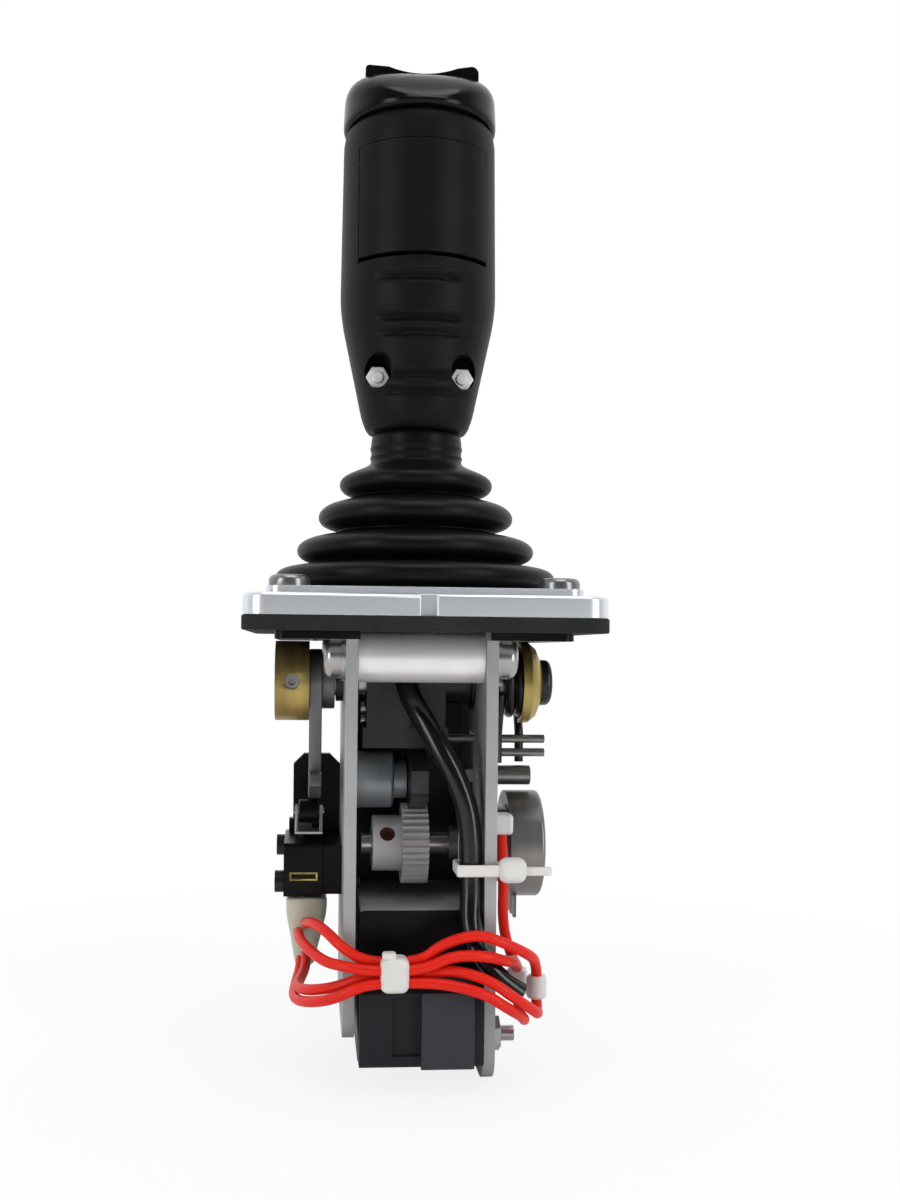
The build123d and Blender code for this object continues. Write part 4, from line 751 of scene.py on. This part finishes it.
# Grooves across the grip's front, each with a low ridge above it
GROOVES = [62.4, 66.6, 76.9, 80.7, 90.8]
GROOVE_ZONE = (57, 100)
GROOVE_REACH = (9.0, 13.5)
GROOVE_DEPTH = 1.0
GROOVE_HALF = 0.8
RIDGE_HEIGHT = 0.4
RIDGE_HALF = 0.9
RIDGE_ABOVE = 1.9
BOW_RISE = 0.5
BOW_REACH = 10.0

# What is cut out of the grip: the trigger's window, the pockets of the nuts and the holes of the screws
TRIGGER_WINDOW = ((-16.8, -30, 96.2), (16.8, -5, 126.6))
NUT_X = 11.2
NUT_Z = 68.5
NUT_POCKET = (3.5, 4.4)
NUT_SEAT_Y = -7.0
SCREW_Z = 67.5
SCREW_HOLE_RADIUS = 3.15
SCREW_SEAT_Y = 9.5
CUT_REACH = 30

PIN_REACH = 18.2
GRIP_ANGLE = 40
SEAM_EDGE = 0.12
SEAM_ANGLE = 45


class JOYSTICK_OT_grip(JoystickOperator, bpy.types.Operator):
    """Two halves of the moulded grip, with soft grooves and the pockets of its nuts"""
    bl_idname = "joystick.grip"
    bl_label = "Grip"

    def execute(self, context):
        body = piece_from(self.form(context.scene.joystick_sizes.grip_steps), "Grip_body", GRIP_ANGLE)
        tools = [block("Window", *TRIGGER_WINDOW)]
        for side in (-1, 1):
            tools.append(oval_rod("Pocket", side * NUT_X, NUT_Z, *NUT_POCKET, -CUT_REACH, NUT_SEAT_Y))
            tools.append(oval_rod("Screw_hole", side * NUT_X, SCREW_Z, SCREW_HOLE_RADIUS, SCREW_HOLE_RADIUS,
                                  SCREW_SEAT_Y, CUT_REACH))
        carve(body, tools)
        for name, node, side in (("Grip_front", "grip_front", -1), ("Grip_rear", "grip_rear", 1)):
            half = self.half(body, name, side)
            place_piece(half, "lever", palette()["grip"], [node])
        discard(body)
        self.pins()
        return {"FINISHED"}

    def form(self, steps):
        """Whole grip before its cuts, oval in section."""
        bm = turned_solid([(z, GRIP_HALF_X + self.offset(z)) for z in GRIP_LEVELS], steps)
        low, high = GROOVE_ZONE
        for vert in bm.verts:
            x, y, z = (value / MM for value in vert.co)
            depth = self.groove(x, z) if y < 0 else 0.0
            scale = 1 - depth / GRIP_HALF_X if low < z < high else 1
            vert.co = (x * scale * MM, y * scale * GRIP_HALF_Y / GRIP_HALF_X * MM, z * MM)
        return bm

    def offset(self, z):
        """Step of the outline from the widest section, inwards where negative, with its corners softened."""
        least, most = CORNER_SPREAD
        spread = min(most, max(least, z - GRIP_BOTTOM), max(least, GRIP_TOP - z))
        samples = [between(z + spread * i / CORNER_SAMPLES, GRIP_OUTLINE)
                   for i in range(-CORNER_SAMPLES, CORNER_SAMPLES + 1)]
        return sum(samples) / len(samples)

    def groove(self, x, z):
        """Depth of the grooves across the front, which fade towards their ends."""
        fade = 1 - smooth_step(abs(x), *GROOVE_REACH)
        depth = 0.0
        for level in GROOVES:
            bow = level + BOW_RISE * (x / BOW_REACH) ** 2
            depth += GROOVE_DEPTH * math.exp(-((z - bow) / GROOVE_HALF) ** 2)
            depth -= RIDGE_HEIGHT * math.exp(-((z - bow - RIDGE_ABOVE) / RIDGE_HALF) ** 2)
        return depth * fade

    def half(self, body, name, side):
        """Front or rear half of the grip, closed where the two meet."""
        bm = bmesh.new()
        bm.from_mesh(body.data)
        geometry = [*bm.verts, *bm.edges, *bm.faces]
        cut = bmesh.ops.bisect_plane(bm, geom=geometry, dist=WELD, plane_co=(0, 0, 0),
                                     plane_no=(0, -side, 0), clear_outer=True)
        edges = [item for item in cut["geom_cut"] if isinstance(item, bmesh.types.BMEdge)]
        bmesh.ops.triangle_fill(bm, edges=edges, use_dissolve=True, use_beauty=True)
        bmesh.ops.recalc_face_normals(bm, faces=bm.faces)
        obj = piece_from(bm, name, GRIP_ANGLE)
        break_edges(obj, SEAM_EDGE, 1, SEAM_ANGLE)
        return obj

    def pins(self):
        """Hinge pins of the rocker and the trigger, which end inside the grip."""
        pins = node_copy("grip_pins", "Grip_pins")
        for vert in pins.data.vertices:
            vert.co.x = min(PIN_REACH * MM, max(-PIN_REACH * MM, vert.co.x))
        place_piece(pins, "lever", palette()["steel"], ["grip_pins"])


# Cap in millimetres: its side as (height, radius), and its crown as (distance from the middle, height)
CAP_HALF_X = 20.6
CAP_OUTLINE = [
    (134.9, 18.4), (134.95, 19.6), (135.2, 20.15), (135.7, 20.5), (136.4, CAP_HALF_X), (137.4, CAP_HALF_X),
    (138.4, 20.55), (139.5, 20.5), (140.6, 20.45), (141.7, 20.4), (142.8, 20.35), (143.9, 20.25),
    (145.0, 20.0), (146.0, 19.65), (147.0, 19.1), (147.9, 18.3), (148.7, 17.3), (149.3, 16.2),
    (149.8, 14.8), (150.1, 13.0), (150.3, 11.0), (150.4, 8.0), (150.4, 4.0),
]
CAP_BASE = 136.4
CAP_CROWN = [
    (0, 149.7), (6, 148.9), (10, 147.8), (14, 146.0), (17, 144.0), (19.5, 141.6), (21.3, 139.2),
    (22.6, 137.0),
]
ROCKER_SLOT = ((-15.8, -8.1, 142.0), (15.8, 8.1, 152.0))
CAP_EDGE = 0.4
CAP_ANGLE = 50


class JOYSTICK_OT_cap(JoystickOperator, bpy.types.Operator):
    """Gloss cap, rounded to the front and the rear, and its rocker"""
    bl_idname = "joystick.cap"
    bl_label = "Cap and rocker"

    def execute(self, context):
        bm = turned_solid(CAP_OUTLINE, context.scene.joystick_sizes.grip_steps)
        top = CAP_OUTLINE[-1][0]
        for vert in bm.verts:
            x, y, z = (value / MM for value in vert.co)
            y *= GRIP_HALF_Y / CAP_HALF_X
            if z > CAP_BASE:
                share = (between(abs(y), CAP_CROWN) - CAP_BASE) / (top - CAP_BASE)
                z = CAP_BASE + (z - CAP_BASE) * share
            vert.co = (x * MM, y * MM, z * MM)
        cap = piece_from(bm, "Cap", CAP_ANGLE)
        carve(cap, [block("Rocker_slot", *ROCKER_SLOT)])
        break_edges(cap, CAP_EDGE, angle=CAP_ANGLE)
        place_piece(cap, "lever", palette()["cap"], ["top_cap"])
        dress_group("rocker")
        return {"FINISHED"}


class JOYSTICK_OT_trigger(JoystickOperator, bpy.types.Operator):
    """Curved trigger in the grip's front"""
    bl_idname = "joystick.trigger"
    bl_label = "Trigger"

    def execute(self, context):
        dress_group("trigger")
        return {"FINISHED"}


# Room that the spacer frame's front bar leaves before the spacer, in millimetres
SPACER_ROOM = ((-16.0, -38.0, -3.0), (16.0, -26.0, 0.0))


class JOYSTICK_OT_panel(JoystickOperator, bpy.types.Operator):
    """Flange, gasket, spacer frame and bellows retainer"""
    bl_idname = "joystick.panel"
    bl_label = "Panel stack"

    def execute(self, context):
        dress_group("panel")
        ring = node_copy("spacer_frame", "Spacer_frame")
        carve(ring, [block("Spacer_room", *SPACER_ROOM)])
        break_edges(ring, PLATE_EDGE)
        place_piece(ring, "frame", palette()["plastic"], ["spacer_frame"])
        return {"FINISHED"}


# Dark rear wall and the fold at its left side, in millimetres: it closes the rear, and its dark colour is
# painted shade for the shaded inside of the frame
REAR_SHADE_WALL = ((-16.15, 26.6, -75.0), (16.15, 28.0, -14.0))
SHADE_WALL_SIDE = ((-16.15, 19.0, -70.6), (-14.8, 27.0, -49.6))


class JOYSTICK_OT_sheet_metal(JoystickOperator, bpy.types.Operator):
    """Side plates, the dark rear wall in place of the back bracket, whose dark colour is painted shade, and
    cam arm
    """
    bl_idname = "joystick.sheet_metal"
    bl_label = "Sheet metal"

    def execute(self, context):
        dress_group("sheet")
        # Dark sheet across the rear: painted shade where the inside of the frame lies in shade
        wall = block("Rear_wall", *REAR_SHADE_WALL)
        carve(wall, [block("Wall_side", *SHADE_WALL_SIDE)], "UNION")
        break_edges(wall, PLATE_EDGE)
        place_piece(wall, "frame", palette()["dark_zinc_and_shade"], ["back_bracket"])
        return {"FINISHED"}


class JOYSTICK_OT_screws(JoystickOperator, bpy.types.Operator):
    """Screws, nuts and washers"""
    bl_idname = "joystick.screws"
    bl_label = "Screws and nuts"

    def execute(self, context):
        dress_group("screws")
        return {"FINISHED"}


class JOYSTICK_OT_turned(JoystickOperator, bpy.types.Operator):
    """Spacers, collar, bushes, pins and shafts"""
    bl_idname = "joystick.turned"
    bl_label = "Turned pieces"

    def execute(self, context):
        dress_group("turned")
        return {"FINISHED"}


class JOYSTICK_OT_gears(JoystickOperator, bpy.types.Operator):
    """Sector, pinion and the hub that carries the lever"""
    bl_idname = "joystick.gears"
    bl_label = "Gears and hub"

    def execute(self, context):
        dress_group("gears")
        return {"FINISHED"}


class JOYSTICK_OT_spring(JoystickOperator, bpy.types.Operator):
    """Torsion spring that centres the lever"""
    bl_idname = "joystick.spring"
    bl_label = "Centring spring"

    def execute(self, context):
        dress_group("spring")
        return {"FINISHED"}


class JOYSTICK_OT_sensor(JoystickOperator, bpy.types.Operator):
    """Position sensor with its nut and washer"""
    bl_idname = "joystick.sensor"
    bl_label = "Position sensor"

    def execute(self, context):
        dress_group("sensor")
        return {"FINISHED"}


# Covers of the switch's blades, in millimetres: name, front and rear, lower end, and share of the width there
BLADE_COVERS = [
    ("Blade_cover_front", -7.6, 1.6, -84.0, 0.62),
    ("Blade_cover_rear", 2.4, 19.0, -92.5, 0.5),
]
COVER_LEFT = -34.4
COVER_RIGHT = -22.5
COVER_TOP = -70.3
COVER_LEAN = 0.9
COVER_SHARES = (0.08, 0.35, 0.62, 0.9, 1.0)
COVER_TAPER = (0.3, 1.0)
COVER_ANGLE = 60

# Thin brass frame on the switch's front and the window in it, in millimetres
CONTACT_FRAME = ((-33.0, -7.35, -65.8), (-25.6, -6.8, -63.6))
CONTACT_WINDOW = ((-32.5, -8.0, -65.3), (-26.1, -6.0, -64.1))


class JOYSTICK_OT_switch(JoystickOperator, bpy.types.Operator):
    """Limit switch, its roller lever and the covers of its blades"""
    bl_idname = "joystick.switch"
    bl_label = "Limit switch"

    def execute(self, context):
        dress_group("switch")
        for name, y0, y1, low, narrow in BLADE_COVERS:
            self.cover(name, y0, y1, low, narrow)
        contact = block("Contact_frame", *CONTACT_FRAME)
        carve(contact, [block("Contact_window", *CONTACT_WINDOW)])
        place_piece(contact, "frame", palette()["brass"], ["switch_terminals"])
        return {"FINISHED"}

    def cover(self, name, y0, y1, low, narrow):
        """Soft sleeve that narrows towards the wires and leans to the left."""
        x, y = (COVER_LEFT + COVER_RIGHT) / 2, (y0 + y1) / 2
        centre = Vector((x - COVER_LEAN, y, 0)) * MM
        bm = bmesh.new()
        bmesh.ops.create_grid(bm, x_segments=1, y_segments=1, size=0.5)
        bmesh.ops.scale(bm, vec=((COVER_RIGHT - COVER_LEFT) * MM, (y1 - y0) * MM, 1), verts=bm.verts)
        bmesh.ops.translate(bm, vec=(x * MM, y * MM, COVER_TOP * MM), verts=bm.verts)
        face = bm.faces[:]
        done = 0.0
        for share in COVER_SHARES:
            step = bmesh.ops.extrude_face_region(bm, geom=face)
            # The first face closes the top, and the others would stay inside
            if done:
                bmesh.ops.delete(bm, geom=face, context="FACES_ONLY")
            face = [item for item in step["geom"] if isinstance(item, bmesh.types.BMFace)]
            verts = [item for item in step["geom"] if isinstance(item, bmesh.types.BMVert)]
            bmesh.ops.translate(bm, vec=(0, 0, (low - COVER_TOP) * (share - done) * MM), verts=verts)
            ratio = self.width(share, narrow) / self.width(done, narrow)
            bmesh.ops.scale(bm, vec=(ratio, ratio, 1), space=Matrix.Translation(-centre), verts=verts)
            done = share
        bmesh.ops.recalc_face_normals(bm, faces=bm.faces)
        obj = piece_from(bm, name, COVER_ANGLE)
        subdivide(obj, 3)
        place_piece(obj, "frame", palette()["sleeve"], ["terminal_boots"])

    def width(self, share, narrow):
        """Width of a cover at a share of its height, as a share of its width at the top."""
        return 1 - (1 - narrow) * smooth_step(share, *COVER_TAPER)


# Module in millimetres: its pad lies before this depth, and its tray above this height
PAD_DEPTH = -33.2
TRAY_HEIGHT = -71.2
MODULE_EDGE = 0.5


class JOYSTICK_OT_module(JoystickOperator, bpy.types.Operator):
    """Control module with its cover"""
    bl_idname = "joystick.module"
    bl_label = "Control module"

    def execute(self, context):
        self.two_tone("module_cover", "slate", "pad", "slate_plastic", self.on_pad)
        self.two_tone("module_case", "plastic", "tray", "black_plastic", self.on_tray)
        return {"FINISHED"}

    def on_pad(self, face):
        """Whether a face of the cover is on its raised pad."""
        return face.center.y < PAD_DEPTH * MM and face.center.x > 0

    def on_tray(self, face):
        """Whether a face of the case is on its light top."""
        return face.center.z > TRAY_HEIGHT * MM

    def two_tone(self, node, look, second, slot, chosen):
        """Copy of a node with a second finish on the chosen faces."""
        obj = node_copy(node, node.capitalize())
        for key in (look, second):
            obj.data.materials.append(palette()[key])
        for face in obj.data.polygons:
            face.material_index = 1 if chosen(face) else 0
        break_edges(obj, MODULE_EDGE, 3)
        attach(obj, "frame")
        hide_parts(node)


# Ties in millimetres: the loop round the cable with the room in it, then name, corners and edge of the others
TIE_LOOP = ((8.9, -30.0, -61.1), (20.25, -19.6, -58.1))
TIE_LOOP_ROOM = ((9.9, -29.0, -64.0), (19.25, -20.6, -55.0))
TIE_LOOP_EDGE = 0.7
TIE_BLOCKS = [
    ("Plate_tie_head", (19.4, -31.4, -62.7), (26.6, -26.2, -56.3), 2.3),
    ("Plate_tie_tail", (26.0, -29.4, -60.9), (33.0, -28.2, -58.7), 0.5),
    ("Bundle_tie", (-10.4, -40.2, -87.6), (-3.4, -32.9, -79.0), 1.9),
    ("Bundle_tie_lock", (-10.0, -39.4, -79.6), (-6.6, -36.2, -77.7), 0.7),
]
TIE_SEGMENTS = 4


class JOYSTICK_OT_ties(JoystickOperator, bpy.types.Operator):
    """Nylon ties and wire connectors"""
    bl_idname = "joystick.ties"
    bl_label = "Ties and connectors"

    def execute(self, context):
        dress_group("ties")
        loop = block("Plate_tie_loop", *TIE_LOOP)
        carve(loop, [block("Loop_room", *TIE_LOOP_ROOM)])
        pieces = [(loop, TIE_LOOP_EDGE)]
        pieces += [(block(name, low, high), edge) for name, low, high, edge in TIE_BLOCKS]
        for obj, edge in pieces:
            break_edges(obj, edge, TIE_SEGMENTS)
            place_piece(obj, "frame", palette()["nylon"], ["wire_ties"])
        return {"FINISHED"}


class JOYSTICK_OT_inside(JoystickOperator, bpy.types.Operator):
    """Finishes of the hidden pieces, which keep their own shapes"""
    bl_idname = "joystick.inside"
    bl_label = "Hidden pieces"

    def execute(self, context):
        looks = palette()
        for node, obj in frame["nodes"].items():
            obj.data.materials.clear()
            obj.data.materials.append(looks["plastic" if node == "grip_switches" else "steel"])
        return {"FINISHED"}


class JOYSTICK_PT_panel(bpy.types.Panel):
    """Buttons of the joystick's pieces"""
    bl_idname = "JOYSTICK_PT_panel"
    bl_label = "Joystick"
    bl_space_type = "VIEW_3D"
    bl_region_type = "UI"
    bl_category = "Joystick"

    def draw(self, context):
        for operator in OPERATORS:
            self.layout.operator(operator.bl_idname)
        scene = context.scene
        for group in (scene.joystick_sizes, scene.joystick_colours, scene.joystick_stage):
            for name in group.__annotations__:
                self.layout.prop(group, name)


GROUPS = (JoystickSizes, JoystickColours, StageSettings)
OPERATORS = (
    JOYSTICK_OT_stage, JOYSTICK_OT_inside, JOYSTICK_OT_cables, JOYSTICK_OT_boot, JOYSTICK_OT_grip,
    JOYSTICK_OT_cap, JOYSTICK_OT_trigger, JOYSTICK_OT_panel, JOYSTICK_OT_sheet_metal, JOYSTICK_OT_screws,
    JOYSTICK_OT_turned, JOYSTICK_OT_gears, JOYSTICK_OT_spring, JOYSTICK_OT_sensor, JOYSTICK_OT_switch,
    JOYSTICK_OT_module, JOYSTICK_OT_ties,
)


def register():
    for item in (*GROUPS, *OPERATORS, JOYSTICK_PT_panel):
        bpy.utils.register_class(item)
    bpy.types.Scene.joystick_sizes = PointerProperty(type=JoystickSizes)
    bpy.types.Scene.joystick_colours = PointerProperty(type=JoystickColours)
    bpy.types.Scene.joystick_stage = PointerProperty(type=StageSettings)


def unregister():
    del bpy.types.Scene.joystick_sizes
    del bpy.types.Scene.joystick_colours
    del bpy.types.Scene.joystick_stage
    for item in reversed((*GROUPS, *OPERATORS, JOYSTICK_PT_panel)):
        bpy.utils.unregister_class(item)


def main():
    register()
    for operator in OPERATORS:
        getattr(bpy.ops.joystick, operator.bl_idname.split(".")[1])()


if __name__ == "__main__":
    main()
